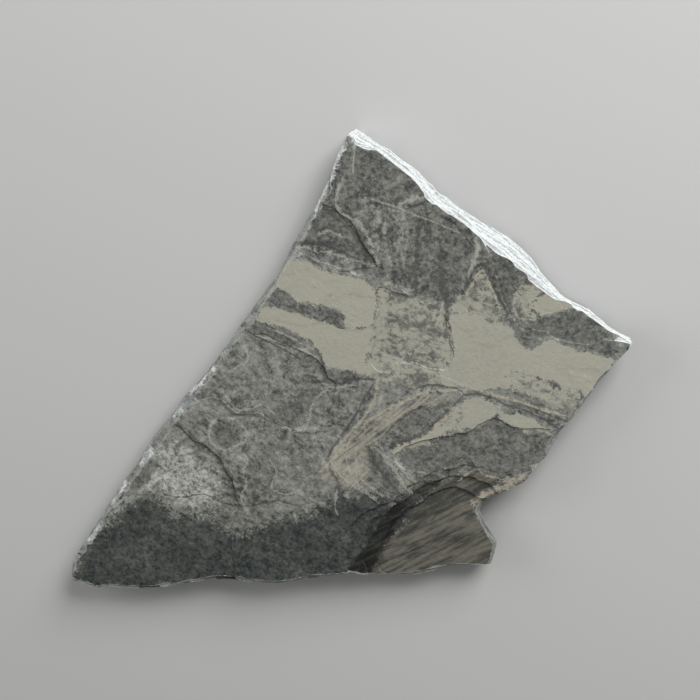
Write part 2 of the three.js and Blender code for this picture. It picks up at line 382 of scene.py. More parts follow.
def edge_column(i):
    """One column of the broken edge: a top and a foot point for each leaf, from the face to the back."""
    column = reaches[i]
    present = [leaf for leaf, reach in enumerate(column) if reach is not None]
    first, last = present[0], present[-1]

    def place(leaf):
        leaf = min(max(leaf, first), last)
        reach = column[leaf] if column[leaf] is not None else column[first]
        reach += ragged(*waist[i], leaf)
        return waist[i] + outward[i] * reach

    top_inside = place(first) - outward[i] * INSIDE_RIM
    foot_inside = place(last) - outward[i] * INSIDE_RIM
    top = (surface_height(*top_inside, 1) or FACE_HEIGHT) - relief(*place(first), 1)
    foot = (surface_height(*foot_inside, -1) or 0.0) + relief(*place(last), -1)
    points = []
    height = top
    for leaf in range(leaf_count):
        at = place(leaf)
        heave = HEAVE * noise.noise(Vector((*(at / HEAVE_SIZE), leaf * HEAVE_LEAF_SHIFT)))
        lower = leaf_heights[leaf + 1] + heave
        lower = foot if leaf >= last else max(lower, foot + THINNEST * (last - leaf))
        lower = top if leaf < first else min(lower, height - THINNEST)
        swing_at = Vector((*(at / HEAVE_SIZE * LEAN_PACE), leaf * LEAN_LEAF_SHIFT))
        lean = outward[i] * LEAN * noise.noise(swing_at)
        if leaf < first or leaf > last:
            lean = 0
        points.append((*at, height))
        points.append((*(at + lean), lower))
        height = lower
    return points


columns = np.array([edge_column(i) for i in range(len(waist))])
ring_count = columns.shape[1]
print("the edge has", columns.shape[0], "columns of", ring_count, "points")

# %% [markdown]
# ## The face and the back
# Both are a carpet of triangles inside the edge's last ring. Its points start as a jittered grid. Those
# beside a ledge or a terrace edge are then moved onto its two sides, a fraction of a millimetre apart, and
# a Delaunay triangulation joins them all. The steps come out as clean thin cliffs without any need for a
# finer grid.

# %% Make the solid's smooth ledges ragged
CLIFF = 0.32 * MM
GENTLE, GENTLE_SIZE = 5.0, 30 * MM
WANDER, WANDER_SIZE = 3.0 * MM, 15 * MM
WANDER_FINE, WANDER_FINE_SIZE = 1.0 * MM, 5 * MM
WANDER_HOLD = 14 * MM
CLOSING_IN = 4


def wandered(x, y):
    """A place a little to one side. The solid is read there, so that its smooth ledges come out ragged."""
    hold = min(1.0, waist_tree.find((x, y, 0))[2] / WANDER_HOLD)
    coarse, fine = Vector((x, y, 0)) / WANDER_SIZE, Vector((x, y, 0)) / WANDER_FINE_SIZE
    shift = noise.noise_vector(coarse) * WANDER + noise.noise_vector(fine) * WANDER_FINE
    return x + shift.x * hold, y + shift.y * hold


def unwandered(x, y):
    """The place that wanders to a given one, closed in on from the given one."""
    at_x, at_y = x, y
    for _ in range(CLOSING_IN):
        to_x, to_y = wandered(at_x, at_y)
        at_x, at_y = at_x + x - to_x, at_y + y - to_y
    return at_x, at_y


def ledge_distance(x, y, side):
    """How far the nearest ragged ledge is."""
    return ledge_trees[side].find((*wandered(x, y), 0))[2]


def ledge_pair(sample):
    """A point at the top and one at the foot of a ledge. The cliff between is steep here and gentle there."""
    steepness = noise.noise(Vector((sample[0], sample[1], 0)) / GENTLE_SIZE)
    half = CLIFF * (1 + GENTLE * max(0.0, steepness))
    return [unwandered(*(sample[:2] + way * half * sample[2:4])) for way in (1, -1)]


print("the first ledge sample is at", ledges[1][0][:2].round(4), "and its pair at", ledge_pair(ledges[1][0]))

# %% Scatter points inside a ring
SNAP_WITHIN = 1.15 * MM
LEDGE_PAIR_EVERY = 3
JITTER = 0.27
OFF_RING = 0.6
FACE_SPACING = 2.05 * MM
BACK_SPACING = 4.2 * MM


def inside(points, loop):
    """Which points lie inside a closed loop, by counting crossings."""
    crossed = np.zeros(len(points), bool)
    x, y = points[:, 0], points[:, 1]
    for (ax, ay), (bx, by) in zip(loop, np.roll(loop, -1, axis=0)):
        if ay == by:
            continue
        spans = (ay > y) != (by > y)
        crossed ^= spans & (x < ax + (y - ay) / (by - ay) * (bx - ax))
    return crossed


def onto_terrace_edge(x, y, side):
    """Moves a point that is near a terrace edge onto the cliff's top or foot."""
    distance, climbs = hill_line(x, y, side)
    if abs(distance) >= SNAP_WITHIN:
        return x, y
    shift = math.copysign(CLIFF, distance) - distance
    return x + climbs.x * shift, y + climbs.y * shift


def scattered(loop, spacing, side):
    """Jittered grid points inside a ring. Those beside a ledge give way to pairs of points across it."""
    low, high = loop.min(axis=0), loop.max(axis=0)
    lines_both_ways = [np.arange(a, b, spacing) for a, b in zip(low, high)]
    grid = np.stack(np.meshgrid(*lines_both_ways), axis=-1).reshape(-1, 2)
    grid += rng.uniform(-JITTER, JITTER, grid.shape) * spacing
    pairs = np.array([point for sample in ledges[side][::LEDGE_PAIR_EVERY] for point in ledge_pair(sample)])
    ring_tree = tree_of(loop)
    drawn = [
        onto_terrace_edge(x, y, side)
        for x, y in grid[inside(grid, loop)] if ledge_distance(x, y, side) >= SNAP_WITHIN
    ]
    drawn += [tuple(point) for point in pairs[inside(pairs, loop)]]
    return [(x, y) for x, y in drawn if ring_tree.find((x, y, 0))[2] > spacing * OFF_RING]


face_ring = columns[:, 0, :]
back_ring = columns[:, -1, :]
face_points = scattered(face_ring[:, :2], FACE_SPACING, 1)
back_points = scattered(back_ring[:, :2], BACK_SPACING, -1)
print(len(face_points), "points on the face and", len(back_points), "on the back")

# %% Stretch a carpet of triangles inside each ring
from mathutils.geometry import delaunay_2d_cdt

KEEP_ALL_INSIDE = 1


def carpet(ring, points, side):
    """Triangles between a ring and the points inside it. Gives all the places and the triangles."""
    flat = [Vector(point[:2]) for point in ring] + [Vector(point) for point in points]
    edges = [(i, (i + 1) % len(ring)) for i in range(len(ring))]
    made, _, triangles, sources, _, _ = delaunay_2d_cdt(flat, edges, [], KEEP_ALL_INSIDE, SAME_POINT)
    places = []
    for at, source in zip(made, sources):
        on_ring = [i for i in source if i < len(ring)]
        if on_ring:
            places.append(tuple(ring[on_ring[0]]))
            continue
        height = surface_height(*wandered(at.x, at.y), side)
        if height is None:
            height = FACE_HEIGHT if side > 0 else 0.0
        places.append((at.x, at.y, height - side * relief(at.x, at.y, side)))
    return places, [triangle if side > 0 else triangle[::-1] for triangle in triangles]


face_places, face_triangles = carpet(face_ring, face_points, 1)
back_places, back_triangles = carpet(back_ring, back_points, -1)
print(len(face_triangles), "triangles on the face and", len(back_triangles), "on the back")

# %% Which edge points belong to the face or the back
SHELF = 5 * MM
SHELF_DEPTH = 8 * MM


def shelved(ring, side):
    """1 for each edge point that lies on a ring or down to a wide shelf, where a leaf has split off and its
    neighbour's riven surface shows, else 0."""
    marks = np.isclose(columns, ring[:, None, :], atol=SAME_POINT).all(axis=2).astype(float)
    depths = abs(leaf_heights - (FACE_HEIGHT if side > 0 else 0))[::side]
    for column_marks, column in zip(marks[:, ::side], reaches):
        column = column[::side]
        for leaf, (reach, beyond) in enumerate(zip(column, column[1:])):
            if reach is not None and beyond is not None:
                if beyond - reach > SHELF and depths[leaf + 1] < SHELF_DEPTH:
                    column_marks[:2 * leaf + 3] = 1
    return marks.ravel()


on_face = np.concatenate([shelved(face_ring, 1), np.ones(len(face_places)), np.zeros(len(back_places))])
on_back = np.concatenate([shelved(back_ring, -1), np.zeros(len(face_places)), np.ones(len(back_places))])
shelf_points = int(on_face.sum()) - len(face_places) - len(waist)
print(shelf_points, "edge points belong to wide shelves of the face")

# %% Join everything into one stone
WELD = 0.002 * MM
SHARP_ANGLE = math.radians(38)


def edge_quads(column_count, rings):
    """The broken edge's quads, between neighbouring columns and rings."""
    return [
        (i * rings + r, i * rings + r + 1, after * rings + r + 1, after * rings + r)
        for i, after in ((i, (i + 1) % column_count) for i in range(column_count))
        for r in range(rings - 1)
    ]


def store(mesh, name, values):
    """Keeps one number for each of a mesh's points, for the material to read."""
    kept = mesh.attributes.new(name, "FLOAT", "POINT")
    kept.data.foreach_set("value", np.asarray(values, np.float32))


places = [tuple(point) for column in columns for point in column]
polygons = edge_quads(len(waist), ring_count)
for more_places, more_triangles in ((face_places, face_triangles), (back_places, back_triangles)):
    first = len(places)
    places += more_places
    polygons += [tuple(first + i for i in triangle) for triangle in more_triangles]
stone_mesh = bpy.data.meshes.new("riven_slate")
stone_mesh.from_pydata(places, [], polygons)
store(stone_mesh, "on_face", on_face)
store(stone_mesh, "on_back", on_back)
joining = bmesh.new()
joining.from_mesh(stone_mesh)
bmesh.ops.remove_doubles(joining, verts=joining.verts[:], dist=WELD)
bmesh.ops.dissolve_degenerate(joining, edges=joining.edges[:], dist=WELD)
open_edges = sum(not edge.is_manifold for edge in joining.edges)
for face in joining.faces:
    face.smooth = True
joining.to_mesh(stone_mesh)
joining.free()
stone_mesh.set_sharp_from_angle(angle=SHARP_ANGLE)
stone_mesh.calc_loop_triangles()
stone = bpy.data.objects.new("riven_slate_slab", stone_mesh)
bpy.context.collection.objects.link(stone)
print(len(stone_mesh.loop_triangles), "triangles,", open_edges, "open edges")

# %% [markdown]
# ## Where the markings lie
# Some leaves of this stone are tan, some near black, and thin rusty veins wander between them. Which colour
# shows depends on which leaf the split left on top, so the patches have ragged, torn edges. Each marking is
# a rough outline or line in pixels of the photograph, dropped onto the face by the camera's own numbers.
# Every point of the mesh then stores how far it is from each family of markings. The material frays that
# distance with noise, so the edges stay sharp however close the camera comes. Painted vertex colours would
# blur between points.

# %% Tan patches
TAN_PATCHES_PX = [
    [(294.5, 169), (302, 171), (311, 174.5), (319, 177.5), (326, 178.5), (333.5, 181.5), (337.5, 187.5),
     (336.5, 194.5), (335.5, 202), (328, 203.5), (320, 203.5), (321.5, 199), (320, 195), (316, 193.5),
     (311.5, 192), (305, 191), (301, 191.5), (296.5, 189), (294.5, 186), (289, 183.5), (284, 183),
     (289.5, 176)],
    [(281, 192), (289.5, 193.5), (297, 196), (303, 198), (309, 200), (315.5, 201.5), (318, 204), (326, 204),
     (335.5, 202.5), (334.5, 208), (333.5, 214.5), (331, 219.5), (334.5, 223), (333, 226), (327, 225),
     (320, 223.5), (313, 223), (311.5, 221), (309.5, 216), (306, 212), (303.5, 210), (298, 206), (289, 202.5),
     (281, 200), (277, 199)],
    [(372.5, 195.5), (379, 196.5), (387.5, 198), (391.5, 200.5), (399, 200.5), (404, 204.5), (405, 209),
     (411.5, 214.5), (416.5, 211.5), (421.5, 208), (426.5, 212), (434, 214), (444.5, 216.5), (453.5, 219),
     (449.5, 224.5), (443.5, 231), (439.5, 238), (436, 233), (431, 231.5), (428.5, 234), (425, 229.5),
     (417, 228), (411, 226.5), (403.5, 224), (401.5, 228), (403, 232.5), (396.5, 233.5), (385.5, 234),
     (378.5, 231.5), (374, 228.5), (370.5, 225.5), (372, 220), (375, 216), (374, 210), (373, 204),
     (372.5, 199)],
    [(380, 238.5), (386.5, 237), (393, 238.5), (396, 243), (394, 246.5), (391, 249.5), (387, 252.5),
     (378, 252.5), (376, 249), (379.5, 246), (378, 241.5)],
    [(395.5, 243), (399, 245), (403, 246.5), (406.5, 245), (411.5, 246.5), (415, 249), (418, 251),
     (422.5, 253.5), (426.5, 256), (424, 257.5), (417, 254), (413, 252.5), (410, 255.5), (406, 252.5),
     (401, 250), (396.5, 247.5)],
    [(345.5, 262), (353, 259), (361, 255.5), (369, 249.5), (376, 243.5), (378, 247), (371, 253.5), (363, 259),
     (354, 262), (347.5, 265.5)],
    [(413, 193), (415, 188.5), (418.5, 186.5), (423, 186), (428, 190), (433, 192.5), (428, 194.5),
     (422.5, 196), (419.5, 198), (415, 197)],
]
print("tan patches:", len(TAN_PATCHES_PX))

# %% Dappled patches
DAPPLED_PATCHES_PX = [
    [(336, 182.5), (345, 184.5), (352, 187), (360, 190), (369.5, 193), (371, 197), (371.5, 205), (374.5, 209),
     (375.5, 217), (371, 222), (375, 228.5), (372, 232), (362, 232), (355, 232.5), (347, 229), (340, 231),
     (336, 227), (330, 222), (333, 214), (334.5, 203), (335.5, 192)],
    [(402, 224), (411, 225.5), (417, 229), (424, 231), (428, 235.5), (433, 232), (437, 237), (431, 245),
     (424, 241), (414, 239), (404, 235.5), (400, 229)],
    [(303.5, 178), (307, 177), (311, 178), (315, 183), (316, 188), (313, 191.5), (306, 191), (304, 187),
     (302.5, 183)],
    [(378, 241), (377.5, 249), (379, 252.5), (370, 255.5), (362, 259), (355, 261), (347, 263), (353, 258.5),
     (361, 255), (369, 248)],
    [(346, 270), (351, 274.5), (356.5, 277.5), (355.5, 280.5), (352, 285), (348.5, 280)],
    [(388, 173.5), (391.5, 179), (393.5, 187), (398, 195.5), (398, 199), (388, 198), (379, 196),
     (372.5, 195.5), (376.5, 190), (381, 185), (385, 180)],
    [(405, 187), (409, 182), (414, 182), (418, 186.5), (414, 189), (412.5, 193.5), (414, 198.5), (407, 199),
     (404.5, 194)],
]
print("dappled patches:", len(DAPPLED_PATCHES_PX))

# %% Dark patches
DARK_PATCHES_PX = [
    [(283, 185), (289, 185), (294, 187), (297, 191), (302, 193), (308, 193.5), (313, 194.5), (317, 196),
     (320, 196), (320.5, 199.5), (317.5, 203.5), (315.5, 200), (309, 199), (303, 196.5), (297, 195),
     (290, 192.5), (281.5, 190.5)],
    [(346, 265.5), (349, 263.5), (356, 262.5), (361.5, 259.5), (366.5, 258), (373, 256.5), (380, 254.5),
     (388, 251.5), (393, 247.5), (395, 246), (397, 248.5), (402, 250.5), (406, 252.5), (409.5, 255.5),
     (413, 254.5), (418, 254.5), (422.5, 257), (424.5, 259), (422.5, 262), (419, 267), (417, 270.5),
     (411.5, 274.5), (405, 276), (397.5, 276), (391.5, 274.5), (386.5, 272), (382, 269.5), (378.5, 271),
     (375, 275), (370, 277), (366.5, 279), (362.5, 278.5), (356.5, 276.5), (353, 274), (348, 270)],
    [(368.5, 166.5), (372.5, 163.5), (379, 162.5), (381.5, 158), (383.5, 163.5), (381.5, 171.5), (379, 180),
     (375, 186.5), (371, 193.5), (365, 190), (363, 180), (365, 168)],
    [(391, 163), (398, 168), (404, 177), (406, 183), (404, 190), (405, 200), (410.5, 202), (417, 198),
     (424, 196.5), (434, 194), (440.5, 198), (447.5, 203.5), (456, 210), (452.5, 217.5), (444, 215.5),
     (437.5, 212.5), (429.5, 211), (422.5, 208), (415, 209), (409, 211), (402.5, 203.5), (398.5, 197.5),
     (396, 190), (393, 176)],
    [(309, 143), (316, 147), (324, 155), (330, 163), (336, 171.5), (326, 169), (318, 165), (308, 162),
     (302, 160)],
    [(259, 249.5), (265, 249), (269, 251.5), (271.5, 255.5), (269, 259), (264.5, 261), (260.5, 261),
     (257.5, 257.5), (257.5, 253)],
    [(311.5, 225), (316.5, 223), (323, 224), (328, 226.5), (334, 227.5), (328.5, 229.5), (325, 231.5),
     (321, 230), (316, 231), (313, 229)],
    [(276, 200), (285, 203), (293, 206), (301, 210.5), (303.5, 213.5), (294, 212), (285, 209), (275, 204.5)],
    [(345, 253.5), (349, 246), (357, 243), (366, 240.5), (374, 238.5), (369, 244), (362, 249), (356, 253.5),
     (350, 255)],
    [(331.5, 264), (334, 261), (337.5, 261), (339, 265), (343, 271.5), (346, 276.5), (350, 283),
     (347.5, 285.5), (342.5, 281), (337.5, 276.5), (333, 271.5)],
    [(228, 267), (231.5, 269.5), (227, 276), (221, 284), (216, 284), (219, 276.5), (224, 270)],
    [(288.5, 241), (294, 240), (299, 241), (302, 243.5), (300, 249), (296, 252), (291.5, 250.5), (289, 246)],
    [(352, 209), (357, 208), (363, 211), (364, 206.5), (371, 207), (374.5, 212), (373.5, 217.5), (368, 217.5),
     (362, 215), (355, 213.5)],
]
print("dark patches:", len(DARK_PATCHES_PX))

# %% The scoop's black wedge, a painted shadow below its ledge
SCOOP_SHADOW_PATCHES_PX = [
    [(316, 330), (331, 310), (338, 299.5), (344.5, 291), (350.5, 285), (356.5, 280.5), (363, 278),
     (369, 278.5), (364, 283.5), (359, 288), (354, 293), (348, 301), (339, 314), (330, 330)],
]
print("wedges:", len(SCOOP_SHADOW_PATCHES_PX))

# %% White chips along the left rim, partly painted highlight where the chipped margin catches the light
CHIP_AND_HIGHLIGHT_PATCHES_PX = [
    [(304, 149.5), (305.5, 141.5), (310, 133), (313.5, 125), (317, 116), (320.5, 109.5), (323, 112),
     (320, 119), (317, 127.5), (313, 135.5), (309, 143), (307, 149.5)],
    [(243, 237), (255, 220), (259, 221.5), (253.5, 228.5), (251, 231), (247, 236.5)],
    [(230, 253), (241, 242), (244.5, 243), (238.5, 247), (234, 252)],
    [(218, 270), (226, 260.5), (229, 261.5), (226.5, 266), (222, 271.5)],
    [(204, 291), (214, 278), (216, 279.5), (207.5, 291)],
    [(192, 308), (200, 299), (201.5, 301), (196.5, 309)],
]
print("chips:", len(CHIP_AND_HIGHLIGHT_PATCHES_PX))

# %% Broad zones: pale, deep, warm, brown and upper. The deep zone is partly its own dark tone and partly painted shade
PALE_ZONES_PX = [
    [(229, 263), (240, 261), (249, 267), (257, 274), (262, 284), (256, 292), (247, 291), (239, 290),
     (233, 285), (226, 281), (214, 293), (203, 300), (209, 291), (219, 284), (228, 273)],
    [(337, 138), (352, 145), (353, 160), (351, 185), (344, 182), (340, 172), (333, 158)],
    [(383.5, 157), (389.5, 162), (389, 167), (386, 171.5), (383, 178), (380, 184), (378.5, 188), (380.5, 176),
     (383, 168)],
    [(303, 163), (312, 164.5), (324, 169), (331, 172), (322, 174), (304, 169)],
]
DARK_AND_SHADED_ZONES_PX = [
    [(194, 303), (205, 300), (213, 292.5), (219, 286), (229, 286.5), (235, 294), (244, 297), (253, 294),
     (258, 300), (266, 304), (276, 303), (285, 297), (298, 295.5), (309, 293), (316, 287), (326, 284),
     (336, 284.5), (345, 289), (352, 296), (343, 312), (335, 340), (180, 345)],
]
WARM_ZONES_PX = [
    [(309, 278), (317, 266), (325, 256), (333, 248), (340, 243), (349, 238.5), (357, 235.5), (366, 234.5),
     (373, 236), (366, 240), (356, 243), (349, 249), (344, 256), (336, 260), (332.5, 263), (330, 269),
     (333, 277), (328, 283), (319, 279)],
    [(383, 289), (389, 285.5), (397, 281.5), (405, 278.5), (413, 274.5), (419, 268.5), (424, 274), (420, 284),
     (409, 293), (402, 303), (385, 300)],
]
BROWN_ZONES_PX = [
    [(335, 318), (347, 303), (354, 293), (362, 285), (371, 279), (381, 272), (390, 275), (402, 278.5),
     (412, 275.5), (419, 268.5), (424, 280), (400, 330), (325, 335)],
]
UPPER_ZONES_PX = [
    [(322, 106), (362, 136), (427, 190), (462, 211), (440, 206), (405, 199), (385, 197), (371, 192),
     (352, 184), (335, 177), (318, 174), (296, 168), (305, 140)],
]
PATCHES_PX = {
    "tan_field": TAN_PATCHES_PX,
    "dapple_field": DAPPLED_PATCHES_PX,
    "dark_field": DARK_PATCHES_PX,
    "painted_shadow_field": SCOOP_SHADOW_PATCHES_PX,
    "chip_and_highlight_field": CHIP_AND_HIGHLIGHT_PATCHES_PX,
    "pale_zone": PALE_ZONES_PX,
    "dark_and_shaded_zone": DARK_AND_SHADED_ZONES_PX,
    "warm_zone": WARM_ZONES_PX,
    "brown_zone": BROWN_ZONES_PX,
    "upper_zone": UPPER_ZONES_PX,
}
print(sum(len(outlines_px) for outlines_px in PATCHES_PX.values()), "outlines in all")

# %% Broad soft shadows under folds, each with its width in millimetres
SOFT_DARK_LINES_PX = [
    (9, [(309, 144), (315, 148.5), (321, 153.5), (327, 159), (330, 163.5), (332.5, 168.5), (336.5, 171.5)]),
    (9, [(357.5, 149), (357, 162), (355.5, 175), (355.5, 186)]),
    (7, [(361, 146), (362.5, 153), (363, 160)]),
    (12, [(368, 165), (367.5, 176), (369, 187)]),
    (8, [(259, 236.5), (262, 241), (266, 245.5), (275, 245.5), (281.5, 246.5), (286.5, 249)]),
    (9, [(245, 256.5), (253.5, 261.5), (258.5, 266), (262.5, 271), (266, 278.5), (268.5, 286)]),
    (10, [(345, 302), (353, 294.5), (361, 288), (368, 282.5), (376, 277.5)]),
    (6, [(357, 300), (366, 292), (376, 285.5), (386, 280)]),
    (9, [(333.5, 263), (336, 270), (341.5, 277), (347, 283)]),
    (8, [(377, 238.5), (371.5, 244), (365, 250), (359, 255.5), (351.5, 258.5), (345, 260.5)]),
    (9, [(315, 273.5), (318.5, 279), (319.5, 285), (320.5, 296)]),
    (8, [(296, 162), (306, 162), (318, 163), (327, 167)]),
    (7, [(371, 184), (370.5, 192), (371, 200), (370.5, 208)]),
]
print("broad soft shadows under folds:", len(SOFT_DARK_LINES_PX))

# %% Cracks and dark lines, each with its width in millimetres
DARK_LINES_PX = [
    (4, [(317, 120), (317, 132.5), (316, 141), (317, 147), (321, 151), (326, 156.5), (330, 162),
        (333.5, 167.5), (337.5, 172.5)]),
    (4, [(336.5, 172.5), (331.5, 172.5), (326, 169.5), (320, 166.5), (313.5, 164), (303.5, 162.5),
        (297, 162)]),
    (3.5, [(318.5, 175.5), (323, 176), (328, 174.5), (333, 174.5)]),
    (4.5, [(351.5, 145), (356.5, 143.5), (361, 141.5), (364, 139.5)]),
    (4.5, [(379, 186), (383, 178), (385.5, 173), (388.5, 172), (391, 175), (392.5, 181.5), (396, 188),
        (400, 194.5)]),
    (3.5, [(278, 208), (288, 212.5), (300, 219)]),
    (4.5, [(304, 209.5), (308, 214), (310.5, 220), (311.5, 226), (314, 229.5), (317.5, 231), (321.5, 230.5),
        (325, 228.5), (329, 228.5), (335, 228.5)]),
    (4.5, [(286.5, 249), (291.5, 251.5), (296, 254.5), (303, 254.5)]),
    (4, [(357, 232.5), (362.5, 231), (373, 232), (378.5, 234.5)]),
    (6, [(379, 236.5), (384, 235.5), (389, 236), (394, 237.5), (398.5, 240.5), (404, 242)]),
    (4, [(404, 242), (410, 244), (416, 247), (422, 250), (426, 252.5)]),
    (3.5, [(407, 240.5), (416, 244), (424, 247), (431, 249.5)]),
    (5, [(383, 297), (386.5, 290.5), (389, 288), (395, 286), (401.5, 283), (408, 279.5), (414, 275)]),
    (4, [(350, 300), (359, 292.5), (368, 286), (377, 279.5)]),
    (3.5, [(363, 299), (372, 291.5), (382, 285)]),
    (3, [(335, 231), (330, 240), (325, 249), (318, 258), (312, 268)]),
    (3.5, [(233, 285), (242, 287), (252, 284), (262, 290), (275, 291), (287, 287), (297, 290)]),
    (4, [(341, 255.5), (347, 249), (354, 244), (362, 241)]),
    (5, [(281, 241.5), (282.5, 242.5)]),
]
print("cracks and dark lines:", len(DARK_LINES_PX))

# %% Painted highlights along the lips of ledges and folds, each with its width in millimetres
LIP_HIGHLIGHT_LINES_PX = [
    (2.5, [(331.5, 139.5), (338, 141.5), (345, 144), (351.5, 146.5), (360, 150), (368, 153), (377, 157)]),
    (6, [(318.5, 134), (316.5, 141), (318, 146.5), (322.5, 149), (328, 151.5), (331, 156), (334, 163),
        (337.5, 171)]),
    (5, [(309, 157.5), (313, 156), (318.5, 158.5)]),
    (4, [(294, 166), (301.5, 163.5), (306, 166.5), (312.5, 166), (320, 169), (326.5, 171), (335, 173)]),
    (3.5, [(305.5, 150), (304.5, 154), (301, 160), (296, 168), (291.5, 176)]),
    (3, [(326, 115), (325.5, 127)]),
    (5, [(349.5, 142.5), (354, 141), (359, 139.5)]),
    (6, [(386, 160), (386.5, 165), (384.5, 170), (382, 178)]),
    (3.5, [(278, 207), (286, 209.5), (296, 213), (304, 215.5), (308.5, 218)]),
    (3, [(283, 203), (292, 206.5), (300, 211)]),
    (4, [(311.5, 231), (315, 233), (320, 232.5), (324, 231), (326.5, 231.5)]),
    (4.5, [(269.5, 203), (271, 208), (273, 214), (274.5, 218), (273, 220.5), (268.5, 222.5), (264.5, 226),
        (258.5, 222.5)]),
    (3, [(261.5, 218), (266, 212), (270, 208.5)]),
    (3.5, [(261.5, 234), (264.5, 239.5), (268, 243.5), (272, 244), (277, 242.5), (281, 240.5),
        (286.5, 245.5)]),
    (5, [(291.5, 252), (295.5, 253.5), (301.5, 252.5), (304, 248), (305, 241.5), (308.5, 236.5),
        (313.5, 233.5)]),
    (5, [(258.5, 247.5), (265.5, 247.5), (270, 249.5), (273, 253), (274.5, 256.5), (270, 260.5), (265.5, 263),
        (260, 263), (256, 260), (255, 255), (256, 250.5), (259.5, 247.5)]),
    (3.5, [(315, 270), (318.5, 275), (322.5, 278.5), (326.5, 281.5), (332.5, 284.5), (337.5, 288.5)]),
    (3, [(322.5, 261), (322, 269), (325, 277), (331, 282.5), (337, 287)]),
    (3, [(327, 262.5), (326.5, 270), (329, 277), (334.5, 281.5), (339.5, 285.5)]),
    (7, [(337.5, 263), (340.5, 265.5), (343.5, 270), (347, 275.5), (350, 280), (352.5, 283.5)]),
    (8, [(345.5, 265.5), (348, 271), (351.5, 275), (356, 278.5)]),
    (4, [(336.5, 214.5), (343.5, 218), (352.5, 221), (362, 224.5), (371, 228), (380, 232)]),
    (3.5, [(369, 191), (368, 197), (366, 202)]),
    (3.5, [(272, 264), (275, 268), (271, 273), (274, 279), (270, 286), (273, 292)]),
    (3, [(251, 275), (251.5, 281), (251, 289)]),
    (3, [(285, 268), (289, 274), (284, 281), (290, 285), (298.5, 283.5)]),
    (7, [(298, 283), (300, 284)]),
    (6, [(269.5, 266.5), (271.5, 268)]),
    (4, [(404, 188), (403.5, 195), (406.5, 199.5), (412, 200), (416.5, 199)]),
    (3, [(317.5, 283), (316.5, 289), (317.5, 294)]),
]
print("pale lips:", len(LIP_HIGHLIGHT_LINES_PX))

# %% Rusty veins, each with its width in millimetres
RUSTY_LINES_PX = [
    (4.5, [(309, 274), (315, 268), (321, 261.5), (326, 255.5), (331, 250.5), (336.5, 246), (344, 242),
        (351, 239), (357.5, 236), (364, 233.5), (371.5, 234), (378.5, 233.5), (384.5, 233), (391, 235),
        (399, 237.5), (407.5, 239.5), (416, 242.5), (424, 245), (432, 247.5)]),
    (6, [(378, 241), (373, 245), (369, 248.5), (364, 254), (361, 257.5), (356, 259.5), (349, 261),
        (346, 263)]),
    (4.5, [(337, 229), (337, 235), (334, 242.5), (328.5, 249.5), (322.5, 256), (316, 263.5)]),
    (3.5, [(381, 187), (385, 179), (388, 175), (390, 176.5), (392.5, 183), (396, 191)]),
    (4, [(413, 194), (421, 197), (427, 195), (433, 193)]),
    (9, [(384, 290), (389, 286), (396.5, 282), (403, 279.5), (410, 276.5), (417.5, 270)]),
    (4.5, [(377, 278.5), (383, 273.5), (390, 276), (399, 278), (407.5, 276.5), (413.5, 273), (418.5, 268)]),
]
LINES_PX = {
    "soft": SOFT_DARK_LINES_PX,
    "dark": DARK_LINES_PX,
    "pale": LIP_HIGHLIGHT_LINES_PX,
    "rusty": RUSTY_LINES_PX,
}
print(sum(len(lines_px) for lines_px in LINES_PX.values()), "lines in all")

# %% Drop them onto the face as curves
CORNER_CUT = 0.25


def rounded(points, closed, times):
    """Cuts the corners of an outline or a line, some times over, which turns them into curves."""
    for _ in range(times):
        following = np.roll(points, -1, axis=0) if closed else points[1:]
        leading = points if closed else points[:-1]
        early = leading * (1 - CORNER_CUT) + following * CORNER_CUT
        late = leading * CORNER_CUT + following * (1 - CORNER_CUT)
        cut = np.stack([early, late], axis=1).reshape(-1, 2)
        points = cut if closed else np.vstack([points[:1], cut, points[-1:]])
    return points


def dropped(points_px, closed):
    """An outline or a line of the photograph, on the face and rounded."""
    return rounded(np.array([on_slab(px, py) for px, py in points_px]), closed, 1 if closed else 2)


print("the first rusty vein starts at", dropped(LINES_PX["rusty"][0][1], False)[0].round(4))

# %% Measure every point of the mesh against them
FAR = 60 * MM
FAR_HALF_WIDTHS = 9.0
spots = np.empty(len(stone_mesh.vertices) * 3)
stone_mesh.vertices.foreach_get("co", spots)
spots = spots.reshape(-1, 3)


def nearest_on(line, closed):
    """For every spot: its distance to a line, and the side of the line that it is on, as 1 or -1."""
    starts = line if closed else line[:-1]
    ends = np.roll(line, -1, axis=0) if closed else line[1:]
    least = np.full(len(spots), np.inf)
    side = np.ones(len(spots))
    low, high = line.min(axis=0) - FAR, line.max(axis=0) + FAR
    close = np.nonzero(((spots[:, :2] > low) & (spots[:, :2] < high)).all(axis=1))[0]
    for start, end in zip(starts, ends):
        along = end - start
        away = spots[close, :2] - start
        share = np.clip(away @ along / along.dot(along), 0, 1)
        distance = np.linalg.norm(away - share[:, None] * along, axis=1)
        closer = distance < least[close]
        least[close[closer]] = distance[closer]
        side[close[closer]] = np.sign(along[0] * away[closer, 1] - along[1] * away[closer, 0])
    return least, side


def patch_field(outlines_px):
    """How deep every spot is inside the nearest of some outlines. Outside it is negative."""
    deepest = np.full(len(spots), -FAR)
    for outline_px in outlines_px:
        outline = dropped(outline_px, True)
        distance, _ = nearest_on(outline, True)
        deepest = np.maximum(deepest, np.where(inside(spots[:, :2], outline), distance, -distance))
    return deepest


def line_fields(lines_px):
    """For the nearest of some lines, in half-widths of that line: the signed and the plain distance to it."""
    across = np.full(len(spots), FAR_HALF_WIDTHS)
    reach = np.full(len(spots), FAR_HALF_WIDTHS)
    for width_mm, line_px in lines_px:
        distance, side = nearest_on(dropped(line_px, False), False)
        distance = distance / (width_mm / 2 * MM)
        closer = distance < reach
        reach[closer] = distance[closer]
        across[closer] = (side * distance)[closer]
    return across, reach


